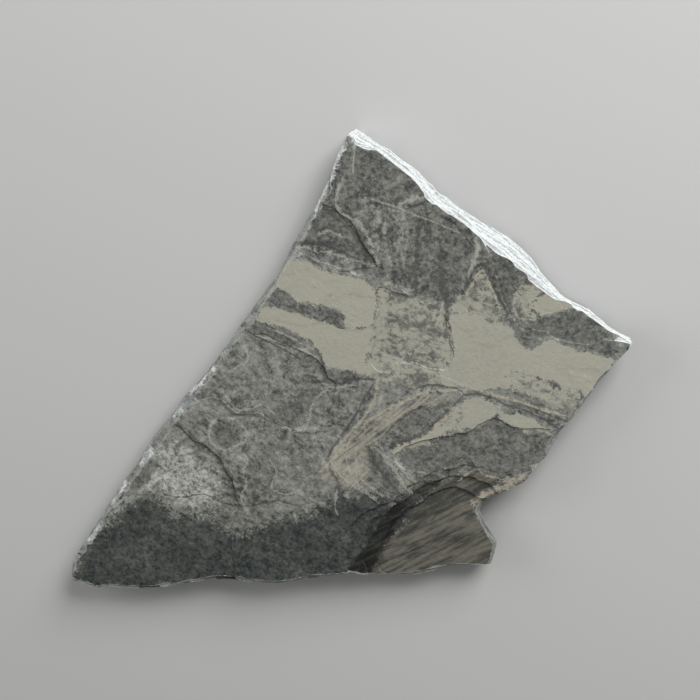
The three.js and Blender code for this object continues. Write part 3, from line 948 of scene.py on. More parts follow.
for name, outlines_px in PATCHES_PX.items():
    store(stone_mesh, name, patch_field(outlines_px))
for family, lines_px in LINES_PX.items():
    across, reach = line_fields(lines_px)
    store(stone_mesh, family + "_across", across)
    store(stone_mesh, family + "_reach", reach)
print("markings measured at", len(spots), "points")

# %% The rim, and the two edges painted paler than the rest, partly fresh dust and partly painted light
UPPER_RIM_PX = [(322, 108), (340, 119), (362, 138), (396, 166), (427, 191), (461, 211)]
LONG_RIM_PX = [(320, 112), (297, 160), (270, 203), (229, 258), (188, 318)]
DUST_AND_LIGHT_WITHIN = 22 * MM
rim_trees = {True: tree_of(face_ring), False: tree_of(back_ring)}
rim_distances = [rim_trees[z > WAIST_HEIGHT].find((x, y, 0))[2] for x, y, z in spots]
store(stone_mesh, "rim_distance", rim_distances)
for name, line_px in (("beside_upper_rim", UPPER_RIM_PX), ("beside_long_rim", LONG_RIM_PX)):
    distance, _ = nearest_on(dropped(line_px, False), False)
    store(stone_mesh, name, np.clip(2 - distance / DUST_AND_LIGHT_WITHIN, 0, 1))
print("the furthest point from the rim is", round(max(rim_distances) / MM), "mm inside it")

# %% [markdown]
# ## Shader parts that are used again and again
# Four effects turn up in several places, so each is a node group: grain, the frayed edge of a stain, a
# broken thin line, and the streaks of leaves seen end on. A group only gives out masks and grey values. The
# material decides what colour or height to make of them, so that one effect can serve a tan patch here and
# a dark one there. A noise is named by what it draws, with the size of its largest lumps in millimetres.

# %% A bench for wiring nodes
class Bench:
    """Adds nodes to one tree. Most calls give back the socket that carries the result."""

    def __init__(self, tree):
        self.tree = tree

    def node(self, kind, inputs=(), **settings):
        made = self.tree.nodes.new(kind)
        for name, value in settings.items():
            setattr(made, name, value)
        for name, value in dict(inputs).items():
            self.feed(made.inputs[name], value)
        return made

    def feed(self, socket, value):
        if isinstance(value, bpy.types.NodeSocket):
            self.tree.links.new(value, socket)
        else:
            socket.default_value = value

    def math(self, operation, *values):
        return self.node("ShaderNodeMath", enumerate(values), operation=operation).outputs[0]

    def plus(self, *values):
        total = values[0]
        for value in values[1:]:
            total = self.math("ADD", total, value)
        return total

    def times(self, *values):
        product = values[0]
        for value in values[1:]:
            product = self.math("MULTIPLY", product, value)
        return product

    def centred(self, noise):
        """Noise from 0 to 1, shifted so that its middle is nothing."""
        return self.plus(noise, -0.5)

    def swing(self, noise, amount):
        """Noise from 0 to 1 as a swing either way of nothing."""
        return self.times(self.centred(noise), amount)

    def shared(self, first, second, share):
        """Two values added up, of which the first has the given share."""
        return self.plus(self.times(first, share), self.times(second, 1 - share))

    def step(self, value, low, high, first=0.0, last=1.0):
        """A smooth step from first, at low and under, to last, at high and over."""
        inputs = enumerate((value, low, high, first, last))
        return self.node("ShaderNodeMapRange", inputs, interpolation_type="SMOOTHSTEP").outputs[0]

    def fall(self, value, low, high):
        """A smooth step down, from 1 to 0."""
        return self.step(value, low, high, 1.0, 0.0)

    def noise(self, place, size_mm, detail=3.0, roughness=0.5, distortion=0.0):
        """Noise from 0 to 1 whose largest lumps are about size_mm across, at places given in millimetres."""
        made = self.node("ShaderNodeTexNoise", {
            "Vector": place, "Scale": 1 / size_mm, "Detail": detail, "Roughness": roughness,
            "Distortion": distortion,
        })
        return made.outputs["Fac"]

    def stretched(self, place, *factors):
        return self.node("ShaderNodeVectorMath", enumerate((place, factors)), operation="MULTIPLY").outputs[0]

    def upward(self, vector):
        """The upright part of a vector."""
        return self.node("ShaderNodeSeparateXYZ", {"Vector": vector}).outputs["Z"]

    def mix(self, amount, first, second, kind="RGBA"):
        """One colour turning into another as amount goes from 0 to 1. Kind FLOAT is for numbers."""
        made = self.node("ShaderNodeMix", data_type=kind, clamp_factor=True)
        ends = [socket for socket in made.inputs if socket.enabled]
        for socket, value in zip(ends, (amount, first, second)):
            self.feed(socket, value)
        return next(socket for socket in made.outputs if socket.enabled)

    def stored(self, name):
        return self.node("ShaderNodeAttribute", attribute_name=name).outputs["Fac"]

    def group(self, tree, **inputs):
        return self.node("ShaderNodeGroup", inputs, node_tree=tree).outputs


def new_group(name, inputs, outputs):
    """An empty shader group with named sockets, and a bench to fill it. Place is a vector, others floats."""
    tree = bpy.data.node_groups.new(name, "ShaderNodeTree")
    for socket, default in inputs.items():
        kind = "NodeSocketVector" if socket == "Place" else "NodeSocketFloat"
        made = tree.interface.new_socket(socket, in_out="INPUT", socket_type=kind)
        if default is not None:
            made.default_value = default
    for socket in outputs:
        tree.interface.new_socket(socket, in_out="OUTPUT", socket_type="NodeSocketFloat")
    bench = Bench(tree)
    return tree, bench, bench.node("NodeGroupInput").outputs, bench.node("NodeGroupOutput").inputs


print("the bench can do", ", ".join(name for name in vars(Bench) if not name.startswith("_")))

# %% Grain: the mottle, speckle, curls and tooth of split slate
DRIFT = dict(size_mm=85, detail=4, roughness=0.55, distortion=0.6)
MOTTLE = dict(size_mm=14, detail=6, roughness=0.68, distortion=0.4)
SPECKLE = dict(size_mm=4.6, detail=6, roughness=0.72)
SWIRL = dict(size_mm=19, detail=5, roughness=0.62, distortion=1.0)
SWIRL_TURNS = 6.0
CURL_WIDTH = (0.02, 0.17)
CURLED = dict(size_mm=11, detail=3)
CURLED_WHERE = (0.42, 0.6)
COARSE_TOOTH = dict(size_mm=6, detail=5, roughness=0.65)
FINE_TOOTH = dict(size_mm=1.3, detail=3, roughness=0.6)
COARSE_TOOTH_SHARE = 0.6

grain_group, bench, given, out = new_group(
    "slate_grain", {"Place": None}, ["Drift", "Mottle", "Speckle", "Curl", "Tooth"])
place = given["Place"]
for name, recipe in (("Drift", DRIFT), ("Mottle", MOTTLE), ("Speckle", SPECKLE)):
    bench.feed(out[name], bench.noise(place, **recipe))
swirl = bench.math("FRACT", bench.times(bench.noise(place, **SWIRL), SWIRL_TURNS))
curl = bench.fall(bench.math("ABSOLUTE", bench.centred(swirl)), *CURL_WIDTH)
bench.feed(out["Curl"], bench.times(curl, bench.step(bench.noise(place, **CURLED), *CURLED_WHERE)))
tooth_parts = bench.noise(place, **COARSE_TOOTH), bench.noise(place, **FINE_TOOTH)
bench.feed(out["Tooth"], bench.shared(*tooth_parts, COARSE_TOOTH_SHARE))
print("the grain takes", len(grain_group.nodes), "nodes")

# %% Frayed stain: a stored depth in metres, torn by noise at two sizes
PER_METRE = 1000.0
SPREAD_OF_NOISE = 0.1
TEAR = dict(size_mm=12, detail=5, roughness=0.62)
NIBBLE = dict(size_mm=3, detail=4, roughness=0.7)
NIBBLE_SHARE = 0.7

stain_group, bench, given, out = new_group(
    "frayed_stain", {"Place": None, "Field": 0.0, "Fray": 2.0, "Softness": 0.8}, ["Mask"])
field_mm = bench.times(given["Field"], PER_METRE)
tear = bench.centred(bench.noise(given["Place"], **TEAR))
nibble = bench.centred(bench.noise(given["Place"], **NIBBLE))
torn = bench.times(bench.plus(tear, bench.times(nibble, NIBBLE_SHARE)), given["Fray"], 1 / SPREAD_OF_NOISE)
frayed = bench.plus(field_mm, torn)
bench.feed(out["Mask"], bench.step(frayed, bench.times(given["Softness"], -1.0), given["Softness"]))
print("a frayed stain takes", len(stain_group.nodes), "nodes")

# %% Broken line: a vein or crack that thins, thickens and stops
# Across and Reach are distances in half-widths of the line. Core is how much of the line is at full strength.
WAVER = dict(size_mm=6, detail=6, roughness=0.75)
SWELL = dict(size_mm=10, detail=4, roughness=0.65)
SWELL_BETWEEN, SWELL_WIDTHS = (0.35, 0.65), (0.45, 1.6)
LINE_ENDS = (1.5, 2.2)
GAP = dict(size_mm=10, detail=5, roughness=0.7)
GAP_SOFTNESS = 0.06

line_sockets = {
    "Place": None, "Across": FAR_HALF_WIDTHS, "Reach": FAR_HALF_WIDTHS,
    "Wander": 0.4, "Gaps": 0.45, "Core": 0.3,
}
line_group, bench, given, out = new_group("broken_line", line_sockets, ["Mask"])
waver = bench.centred(bench.noise(given["Place"], **WAVER))
moved = bench.plus(given["Across"], bench.times(waver, given["Wander"], 1 / SPREAD_OF_NOISE))
swell = bench.step(bench.noise(given["Place"], **SWELL), *SWELL_BETWEEN, *SWELL_WIDTHS)
off_middle = bench.math("DIVIDE", bench.math("ABSOLUTE", moved), swell)
drawn = bench.fall(off_middle, given["Core"], 1.0)
near = bench.fall(given["Reach"], *LINE_ENDS)
gap_edges = [bench.plus(given["Gaps"], way * GAP_SOFTNESS) for way in (-1, 1)]
kept = bench.step(bench.noise(given["Place"], **GAP), *gap_edges)
bench.feed(out["Mask"], bench.times(drawn, near, kept))
print("a broken line takes", len(line_group.nodes), "nodes")

# %% Leaf streaks: the ends of leaves, as bands along the broken edge
BROAD_BAND, BROAD_PER_MM = dict(size_mm=1, detail=3, roughness=0.6), (0.02, 0.02, 0.55)
THIN_BAND, THIN_PER_MM = dict(size_mm=1, detail=4, roughness=0.65), (0.05, 0.05, 1.7)
BROAD_SHARE, THIN_TOOTH_SHARE = 0.6, 0.7
BAND_CONTRAST, CRACK_WIDTH = (0.3, 0.7), (0.36, 0.44)
CRUMBLY_TOOTH = dict(size_mm=2.2, detail=5, roughness=0.7)

streak_group, bench, given, out = new_group("leaf_streaks", {"Place": None}, ["Band", "Crack", "Tooth"])
broad_band = bench.noise(bench.stretched(given["Place"], *BROAD_PER_MM), **BROAD_BAND)
thin_band = bench.noise(bench.stretched(given["Place"], *THIN_PER_MM), **THIN_BAND)
bench.feed(out["Band"], bench.step(bench.shared(broad_band, thin_band, BROAD_SHARE), *BAND_CONTRAST))
bench.feed(out["Crack"], bench.fall(thin_band, *CRACK_WIDTH))
crumbly_tooth = bench.noise(given["Place"], **CRUMBLY_TOOTH)
bench.feed(out["Tooth"], bench.shared(thin_band, crumbly_tooth, THIN_TOOTH_SHARE))
print("groups:", [tree.name for tree in bpy.data.node_groups])

# %% [markdown]
# ## The slate itself
# One material covers the whole stone, because one stone is all there is. Two stored numbers say whether a
# point is on the face or on the back. Where both are 0, it is in between, on the broken edge. The face gets
# the markings, the back gets the same grain with stains that only noise places, and the edge gets leaf
# streaks and a pale colour that is partly the dust of a fresh break and partly painted light.

# %% Colours of the stone
BRIGHTEST = 255
TOE_END, TOE_SLOPE = 0.04045, 12.92
CURVE_SHIFT, CURVE_POWER = 0.055, 2.4


def linear(value):
    """One channel of a colour as a picture editor gives it, as the linear light that a shader mixes."""
    value /= BRIGHTEST
    if value <= TOE_END:
        return value / TOE_SLOPE
    return ((value + CURVE_SHIFT) / (1 + CURVE_SHIFT)) ** CURVE_POWER


def colour(red, green, blue):
    """A colour as a picture editor gives it, with each channel from 0 to 255."""
    return (linear(red), linear(green), linear(blue), 1.0)


SLATE_DARK, SLATE_MID, SLATE_PALE = colour(62, 64, 62), colour(112, 113, 108), colour(152, 152, 144)
SLATE_GREY, NEAR_BLACK, DARK_BLUE_AND_SHADE = colour(90, 91, 86), colour(58, 60, 58), colour(28, 35, 35)
TAN, TAN_SHADE = colour(153, 152, 139), colour(142, 141, 130)
BROWN, RUST, EDGE_RUST = colour(100, 97, 87), colour(162, 156, 140), colour(132, 110, 82)
LIP_HIGHLIGHT_PALE, CHALK_WHITE = colour(160, 161, 152), colour(184, 185, 176)
CHIPPED, CHIP_WHITE_AND_HIGHLIGHT = colour(152, 155, 151), colour(206, 209, 207)
CREVICE, SCOOP_DARK, SHADOW_BLACK = colour(62, 64, 61), colour(50, 50, 45), colour(24, 25, 22)
BROKEN_PALE_AND_LIT, BROKEN_GREY_AND_LIT = colour(210, 214, 214), colour(184, 188, 188)
OLD_GREY, WEATHERED = colour(112, 117, 116), colour(150, 152, 146)
print("middle slate in linear light:", np.round(SLATE_MID[:3], 3))

# %% The material, and the places that its noises are read at
FLATTENED = 60.0
STRIPES_ALONG = 420.0
SCOOP_WAY_PX, SCOOP_SLENDERNESS = ((340, 300), (415, 264)), 7
UPRIGHT_WAY_PX, UPRIGHT_SLENDERNESS = ((362, 150), (358, 192)), 5
WARM_WAY_PX, WARM_SLENDERNESS = ((312, 274), (357, 238)), 11
slate = bpy.data.materials.new("riven_slate")
slate.use_nodes = True
slate.node_tree.nodes.clear()
bench = Bench(slate.node_tree)
coordinates = bench.node("ShaderNodeTexCoord").outputs["Object"]
place = bench.stretched(coordinates, PER_METRE, PER_METRE, PER_METRE)
flat_place = bench.stretched(coordinates, PER_METRE, PER_METRE, FLATTENED)


def drawn_out(angle, along):
    """Places in millimetres, except that lengths along an angle count for less. It draws noise out."""
    turned = bench.node(
        "ShaderNodeVectorRotate", {"Vector": coordinates, "Angle": -angle}, rotation_type="Z_AXIS")
    return bench.stretched(turned.outputs[0], along, PER_METRE, FLATTENED)


def streaked(way_px, slenderness):
    """Places for streaks that run from one photo pixel towards another."""
    way = on_slab(*way_px[1]) - on_slab(*way_px[0])
    return drawn_out(math.atan2(way[1], way[0]), PER_METRE / slenderness)


striped_place = drawn_out(STRIPE_TURN, STRIPES_ALONG)
scoop_place = streaked(SCOOP_WAY_PX, SCOOP_SLENDERNESS)
upright_place = streaked(UPRIGHT_WAY_PX, UPRIGHT_SLENDERNESS)
warm_place = streaked(WARM_WAY_PX, WARM_SLENDERNESS)
grain = bench.group(grain_group, Place=flat_place)
streaks = bench.group(streak_group, Place=place)
print("stripes run at", round(math.degrees(STRIPE_TURN)), "degrees")

# %% [markdown]
# ## The grey ground
# Bare slate is a middle grey that drifts over a hand's width, and is mottled and speckled below that. Where
# the split cuts through folded leaves, thin dark and pale lines run side by side like contours on a map. A
# photograph of slate would bring its own light along and repeat itself. Noise at several sizes does
# neither, and counting one smooth noise in turns gives contour lines that never cross.

# %% Grey ground, with broad drifts
GROUND_TONE, GROUND_CURL = 0.42, 0.24
GROUND_SWINGS = {"Drift": 0.7, "Mottle": 1.1, "Speckle": 2.1}
STRIPE, STRIPE_SWING = dict(size_mm=8, detail=4, roughness=0.6), 0.9
FLECK, FLECK_LIFT = dict(size_mm=7, detail=3, roughness=0.6, distortion=0.8), 0.3
FLECK_WHERE = (0.61, 0.68)


def grained(base, swings, curl):
    """A grey value that the grain swings either way, with the curls on top."""
    return bench.plus(
        base, *[bench.swing(grain[name], amount) for name, amount in swings.items()],
        bench.times(grain["Curl"], curl))


stripe = bench.noise(striped_place, **STRIPE)
flecks = bench.step(bench.noise(flat_place, **FLECK), *FLECK_WHERE)
tone = grained(GROUND_TONE, GROUND_SWINGS, GROUND_CURL)
tone = bench.plus(tone, bench.swing(stripe, STRIPE_SWING), bench.times(flecks, FLECK_LIFT))
print("the ground is drawn by", len(slate.node_tree.nodes), "nodes so far")

# %% Contour lines of colour, where the split cuts through folded leaves
FOLD = dict(size_mm=110, detail=5, roughness=0.5, distortion=0.5)
FOLD_COUNT = 13.0
DARK_RISE, DARK_FALL, DARK_LIFT = (0.0, 0.2), (0.2, 0.48), -0.24
PALE_RISE, PALE_FALL, PALE_LIFT = (0.4, 0.6), (0.6, 0.85), 0.17
FOLDED, FOLDED_WHERE = dict(size_mm=60, detail=3), (0.4, 0.6)

fold_phase = bench.math("FRACT", bench.times(bench.noise(flat_place, **FOLD), FOLD_COUNT))
fold_dark = bench.times(bench.step(fold_phase, *DARK_RISE), bench.fall(fold_phase, *DARK_FALL))
fold_pale = bench.times(bench.step(fold_phase, *PALE_RISE), bench.fall(fold_phase, *PALE_FALL))
folded = bench.step(bench.noise(flat_place, **FOLDED), *FOLDED_WHERE)
tone = bench.plus(tone, bench.times(fold_dark, folded, DARK_LIFT), bench.times(fold_pale, folded, PALE_LIFT))
ground = bench.mix(tone, SLATE_DARK, SLATE_PALE)
print("with the folds it is", len(slate.node_tree.nodes))

# %% [markdown]
# ## Stains and lines on the face
# A stain is another leaf that the split has left on top. So the stains are laid one over another, from the
# lowest leaf up, and the cracks and the rusty veins come last. Two layers carry painted shade: the deep zone
# along the bottom is partly painted shade over its own dark tone, and the scoop's black wedge is a painted
# shadow. Each is a mask and a colour. One ramp of colours over one noise would be shorter, but then no stain
# could have its own grain, and each could only lie beside its neighbour on the ramp.

# %% The masks of the stains
# For each family of patches: how far its edge frays and how soft that edge is, both in millimetres.
FRAY_AND_SOFTNESS = {
    "pale_zone": (4.0, 9.0), "dark_and_shaded_zone": (6.0, 9.0), "brown_zone": (2.6, 4.0), "upper_zone": (2.0, 2.0),
    "dark_field": (1.6, 1.5), "warm_zone": (3.0, 2.5), "dapple_field": (4.0, 2.0),
    "painted_shadow_field": (1.2, 2.5), "chip_and_highlight_field": (1.6, 1.8),
}
TAN_FRAY, TAN_FRAY_BY_DAPPLES, TAN_SOFTNESS = 1.3, 2.5, 0.6


def stain(field, fray, softness):
    """The mask of a family of patches, with a frayed edge."""
    depth = bench.stored(field)
    return bench.group(stain_group, Place=flat_place, Field=depth, Fray=fray, Softness=softness)["Mask"]


masks = {field: stain(field, *edge) for field, edge in FRAY_AND_SOFTNESS.items()}
tan_fray = bench.plus(TAN_FRAY, bench.times(masks["dapple_field"], TAN_FRAY_BY_DAPPLES))
masks["tan_field"] = stain("tan_field", tan_fray, TAN_SOFTNESS)
print("masks:", ", ".join(masks))

# %% Broad stains of the face, from the lowest leaf up, with the deep zone partly painted shade
FINE_TONE, FINE_CURL, FINE_SWINGS = 0.42, 0.3, {"Speckle": 3.0, "Mottle": 1.6}
PALE_GAIN, PALE_OFFSET, PALE_STRENGTH = 1.25, -0.06, 0.9
DEEP_GAIN, DEEP_DRIFT = 0.5, dict(size_mm=45, detail=4, roughness=0.6)
DEEP_BETWEEN, DEEP_STRENGTHS = (0.36, 0.56), (0.84, 1.0)
SCOOP_STREAK, SCOOP_BETWEEN = dict(size_mm=6, detail=4, roughness=0.6), (0.36, 0.62)
BROWN_STRENGTH = 0.9
UPPER_GAIN, UPPER_OFFSET = 0.66, -0.07
UPRIGHT_STREAK = dict(size_mm=9, detail=4, roughness=0.62)
UPRIGHT_BETWEEN, UPRIGHT_STRENGTHS = (0.4, 0.6), (1.0, 0.55)
DARK_GAIN, DARK_STRENGTH = 0.56, 0.8


def laid(over, under, mask, *strengths):
    """One colour laid over another where a mask is, as strongly as all the strengths together say."""
    return bench.mix(bench.times(mask, *strengths), under, over)


fine = grained(FINE_TONE, FINE_SWINGS, FINE_CURL)
pale_tone = bench.plus(bench.times(fine, PALE_GAIN), PALE_OFFSET)
pale_colour = bench.mix(pale_tone, SLATE_GREY, CHALK_WHITE)
face_colour = laid(pale_colour, ground, masks["pale_zone"], PALE_STRENGTH)
# The deep zone: its own darker blue-grey with painted shade, darker towards the bottom.
dark_and_shade_colour = bench.mix(bench.times(fine, DEEP_GAIN), DARK_BLUE_AND_SHADE, SLATE_MID)
deep_drift = bench.step(bench.noise(striped_place, **DEEP_DRIFT), *DEEP_BETWEEN, *DEEP_STRENGTHS)
face_colour = laid(dark_and_shade_colour, face_colour, masks["dark_and_shaded_zone"], deep_drift)
scoop_streaks = bench.step(bench.noise(scoop_place, **SCOOP_STREAK), *SCOOP_BETWEEN)
brown_colour = bench.mix(scoop_streaks, SCOOP_DARK, BROWN)
face_colour = laid(brown_colour, face_colour, masks["brown_zone"], BROWN_STRENGTH)
upper_tone = bench.plus(bench.times(fine, UPPER_GAIN), UPPER_OFFSET)
upper_colour = bench.mix(upper_tone, NEAR_BLACK, SLATE_PALE)
upright_noise = bench.noise(upright_place, **UPRIGHT_STREAK)
upright_streaks = bench.step(upright_noise, *UPRIGHT_BETWEEN, *UPRIGHT_STRENGTHS)
face_colour = laid(upper_colour, face_colour, masks["upper_zone"], upright_streaks)
dark_colour = bench.mix(bench.times(fine, DARK_GAIN), NEAR_BLACK, SLATE_PALE)
face_colour = laid(dark_colour, face_colour, masks["dark_field"], DARK_STRENGTH)
print("with the broad stains it is", len(slate.node_tree.nodes))

# %% Rusty streaks, tan leaves and the dappled field between them
WARM_STREAK = dict(size_mm=5, detail=6, roughness=0.7, distortion=0.8)
WARM_BETWEEN, WARM_STRENGTH, BETWEEN_STRENGTH = (0.4, 0.6), 0.62, 0.18
TAN_TONE, TAN_SPECKLE, TAN_DRIFT = 0.25, 2.6, 1.2
DAPPLE = dict(size_mm=7, detail=6, roughness=0.75, distortion=0.4)
DAPPLE_STRIPE = dict(size_mm=14, detail=5, roughness=0.65)
DAPPLE_SHARE, DAPPLE_BETWEEN, DAPPLE_STRENGTH = 0.6, (0.395, 0.54), 0.9
NEAR_TAN_MM, NEAR_TAN_LIFT = (-16.0, -1.0), (-0.02, 0.07)

warm_streaks = bench.step(bench.noise(warm_place, **WARM_STREAK), *WARM_BETWEEN)
between = bench.plus(BETWEEN_STRENGTH, bench.times(warm_streaks, -BETWEEN_STRENGTH))
face_colour = laid(CREVICE, face_colour, masks["warm_zone"], between)
face_colour = laid(RUST, face_colour, masks["warm_zone"], warm_streaks, WARM_STRENGTH)
tan_swings = bench.swing(grain["Speckle"], TAN_SPECKLE), bench.swing(grain["Drift"], TAN_DRIFT)
tan_colour = bench.mix(bench.plus(TAN_TONE, *tan_swings), TAN, TAN_SHADE)
face_colour = laid(tan_colour, face_colour, masks["tan_field"])
dapple_parts = bench.noise(flat_place, **DAPPLE), bench.noise(striped_place, **DAPPLE_STRIPE)
dapples = bench.shared(*dapple_parts, DAPPLE_SHARE)
near_tan = bench.step(bench.times(bench.stored("tan_field"), PER_METRE), *NEAR_TAN_MM, *NEAR_TAN_LIFT)
dapple_colour = bench.mix(bench.step(bench.plus(dapples, near_tan), *DAPPLE_BETWEEN), SLATE_GREY, TAN)
face_colour = laid(dapple_colour, face_colour, masks["dapple_field"], DAPPLE_STRENGTH)
print("with the tan leaves it is", len(slate.node_tree.nodes))

# %% The scoop's painted shadow, cracks, lips with painted highlights, and veins
# For each family of lines: how far it wavers, how often it stops, and how much of it is at full strength.
LINE_LOOKS = {
    "soft": dict(Wander=0.3, Gaps=0.34, Core=0.15), "dark": dict(Wander=0.35, Gaps=0.36, Core=0.3),
    "pale": dict(Wander=0.55, Gaps=0.37, Core=0.25), "rusty": dict(Wander=0.55, Gaps=0.4, Core=0.25),
}
SOFT_STRENGTH, CRACK_STRENGTH, LIP_HIGHLIGHT_STRENGTH, VEIN_STRENGTH = 0.65, 0.7, 0.62, 0.8
SCOOP_SHADOW_STRENGTHS = (1.0, 0.62)
BEAD_BETWEEN, BEAD_STRENGTHS = (0.36, 0.54), (0.5, 1.0)


def line(family):
    """The mask of a family of lines, with its gaps."""
    across, reach = bench.stored(family + "_across"), bench.stored(family + "_reach")
    return bench.group(line_group, Place=flat_place, Across=across, Reach=reach, **LINE_LOOKS[family])["Mask"]


drawn = {family: line(family) for family in LINE_LOOKS}
scoop_shadow_strength = bench.step(scoop_streaks, 0.0, 1.0, *SCOOP_SHADOW_STRENGTHS)
beaded = bench.step(grain["Speckle"], *BEAD_BETWEEN, *BEAD_STRENGTHS)
# Painted shadow: near-black laid in the scoop where its ledge casts shade.
face_colour = laid(SHADOW_BLACK, face_colour, masks["painted_shadow_field"], scoop_shadow_strength)
face_colour = laid(CREVICE, face_colour, drawn["soft"], SOFT_STRENGTH)
face_colour = laid(CREVICE, face_colour, drawn["dark"], CRACK_STRENGTH)
# Painted highlight: pale lines along lips, where a raised edge would catch the light.
face_colour = laid(LIP_HIGHLIGHT_PALE, face_colour, drawn["pale"], beaded, LIP_HIGHLIGHT_STRENGTH)
face_colour = laid(RUST, face_colour, drawn["rusty"], beaded, VEIN_STRENGTH)
print("with the lines it is", len(slate.node_tree.nodes))

# %% [markdown]
# ## The back and the broken edge
# The back can't be seen in the photograph, so only noise stains it. A fresh break in slate is covered in
# pale dust, while an old one has weathered to grey, with rust in places. The upper edge, and a little the
# long edge, are painted pale: partly fresh dust and partly painted light where the lamp falls on them. How
# fresh the break is was stored with the markings. The leaves are already in the mesh, so the edge needs no
# more than colour and a fine bump. The rim of the face has crumbled a little, and white chips have come off
# at the left, partly painted highlight where the chipped margin catches the light.

# %% The back, and what face and back share
BACK_STAIN = dict(size_mm=130, detail=7, roughness=0.6, distortion=0.5)
BACK_STAIN_WHERE = (0.55, 0.58)
CHIPPING = dict(size_mm=10, detail=5, roughness=0.7)
CHIPPING_FROM, CHIPPING_MM, LONG_RIM_CHIPPING_AND_LIGHT_MM = -0.38, 6.0, 5.0
CHIPPED_EDGE_MM, CHIPPED_STRENGTH = (-0.8, 0.4), 0.75
STEEP_TO_LEVEL, CLIFF_SHADE_STRENGTHS = (0.6, 0.94), (0.22, 0.0)

is_back = bench.stored("on_back")
back_stain = bench.step(bench.noise(striped_place, **BACK_STAIN), *BACK_STAIN_WHERE)
flat_colour = bench.mix(is_back, face_colour, bench.mix(back_stain, ground, tan_colour))
beside_long_rim = bench.stored("beside_long_rim")
rim_mm = bench.times(bench.stored("rim_distance"), PER_METRE)
chipping = bench.plus(bench.noise(flat_place, **CHIPPING), CHIPPING_FROM)
# Along the long rim the paler chipped margin is wider, partly painted light.
chipping_mm = bench.plus(CHIPPING_MM, bench.times(beside_long_rim, LONG_RIM_CHIPPING_AND_LIGHT_MM))
chip_reach = bench.times(chipping, chipping_mm)
chipped = bench.fall(bench.plus(rim_mm, bench.times(chip_reach, -1.0)), *CHIPPED_EDGE_MM)
flat_colour = laid(CHIPPED, flat_colour, chipped, CHIPPED_STRENGTH)
# Painted shade on steep ledge walls: the steeper the surface, the more crevice grey is laid on it.
levelness = bench.math("ABSOLUTE", bench.upward(bench.node("ShaderNodeNewGeometry").outputs["True Normal"]))
flat_colour = laid(CREVICE, flat_colour, bench.step(levelness, *STEEP_TO_LEVEL, *CLIFF_SHADE_STRENGTHS))
print("with the back it is", len(slate.node_tree.nodes))

# %% The broken edge
LONG_RIM_DUST_AND_LIGHT = 0.15
CRUMB, CRUMB_BETWEEN, CRUMB_SHARE = dict(size_mm=3.5, detail=5, roughness=0.7), (0.36, 0.6), 0.7
EDGE_STAIN, EDGE_STAIN_WHERE = dict(size_mm=45, detail=5, roughness=0.6), (0.59, 0.72)
EDGE_STAIN_STRENGTH = 0.5
OLD_CRACK, PALE_AND_LIT_CRACK = 0.35, 0.12

# The upper edge, and a little the long edge, get a pale colour that is partly fresh dust and partly painted
# light.
long_rim_dust_and_light = bench.times(beside_long_rim, LONG_RIM_DUST_AND_LIGHT)
pale_dust_and_light = bench.math("MAXIMUM", bench.stored("beside_upper_rim"), long_rim_dust_and_light)
crumbs = bench.step(bench.noise(place, **CRUMB), *CRUMB_BETWEEN)
dust_and_light_colour = bench.mix(bench.shared(crumbs, streaks["Band"], CRUMB_SHARE), BROKEN_GREY_AND_LIT, BROKEN_PALE_AND_LIT)
edge_stain = bench.step(bench.noise(place, **EDGE_STAIN), *EDGE_STAIN_WHERE)
old_colour = bench.mix(streaks["Band"], OLD_GREY, WEATHERED)
old_colour = laid(EDGE_RUST, old_colour, edge_stain, EDGE_STAIN_STRENGTH)
crack_strength = bench.step(pale_dust_and_light, 0.0, 1.0, OLD_CRACK, PALE_AND_LIT_CRACK)
edge_colour = bench.mix(pale_dust_and_light, old_colour, dust_and_light_colour)
edge_colour = laid(SLATE_MID, edge_colour, streaks["Crack"], crack_strength)
print("with the edge it is", len(slate.node_tree.nodes))

# %% Face, back and edge in one, with the white chips, partly painted highlight, over all
FLAT_BETWEEN = (0.84, 0.96)
CHIP_MOTTLE = (0.38, 0.62)
CHIP_HEIGHT_MM, CHIP_SWING_MM, CHIP_SWING = (22.0, 30.0), 40.0, dict(size_mm=14, detail=4)
CHIP_STRENGTH = 0.95

is_flat = bench.step(bench.math("MAXIMUM", bench.stored("on_face"), is_back), *FLAT_BETWEEN)
stone_colour = bench.mix(is_flat, edge_colour, flat_colour)
chip_and_highlight_colour = bench.mix(bench.step(grain["Mottle"], *CHIP_MOTTLE), CHIPPED, CHIP_WHITE_AND_HIGHLIGHT)
chip_foot = bench.swing(bench.noise(place, **CHIP_SWING), CHIP_SWING_MM)
near_face = bench.step(bench.plus(bench.upward(place), chip_foot), *CHIP_HEIGHT_MM)
# Partly painted highlight: the white chips stand for fresh breaks and for the chipped margin catching the
# light.
stone_colour = laid(chip_and_highlight_colour, stone_colour, masks["chip_and_highlight_field"], near_face, CHIP_STRENGTH)
print("with the chips it is", len(slate.node_tree.nodes))

# %% [markdown]
# ## Tooth and sheen
# Split slate is gritty and almost matt, with a faint sheen on its denser spots. The grit is far finer than
# the mesh, so it is bump, which costs no triangles. The cracks and lips press a little into it or out of
# it, so that the low lamp finds them too.

# %% Tooth, sheen and the shader
GRAIN_HEIGHT, STREAK_HEIGHT, CRUMB_HEIGHT = 0.8, 0.9, 0.5
FOLD_HEIGHT, TAN_HEIGHT = -0.1, -0.1
CRACK_HEIGHT, LIP_HEIGHT, SOFT_HEIGHT = -0.22, 0.12, -0.2
TOOTH_DEPTH = 1.0 * MM
SHEEN_BETWEEN, ROUGHNESSES = (0.3, 0.7), (0.8, 0.66)
STONE_IOR, STONE_SPECULAR = 1.5, 0.25

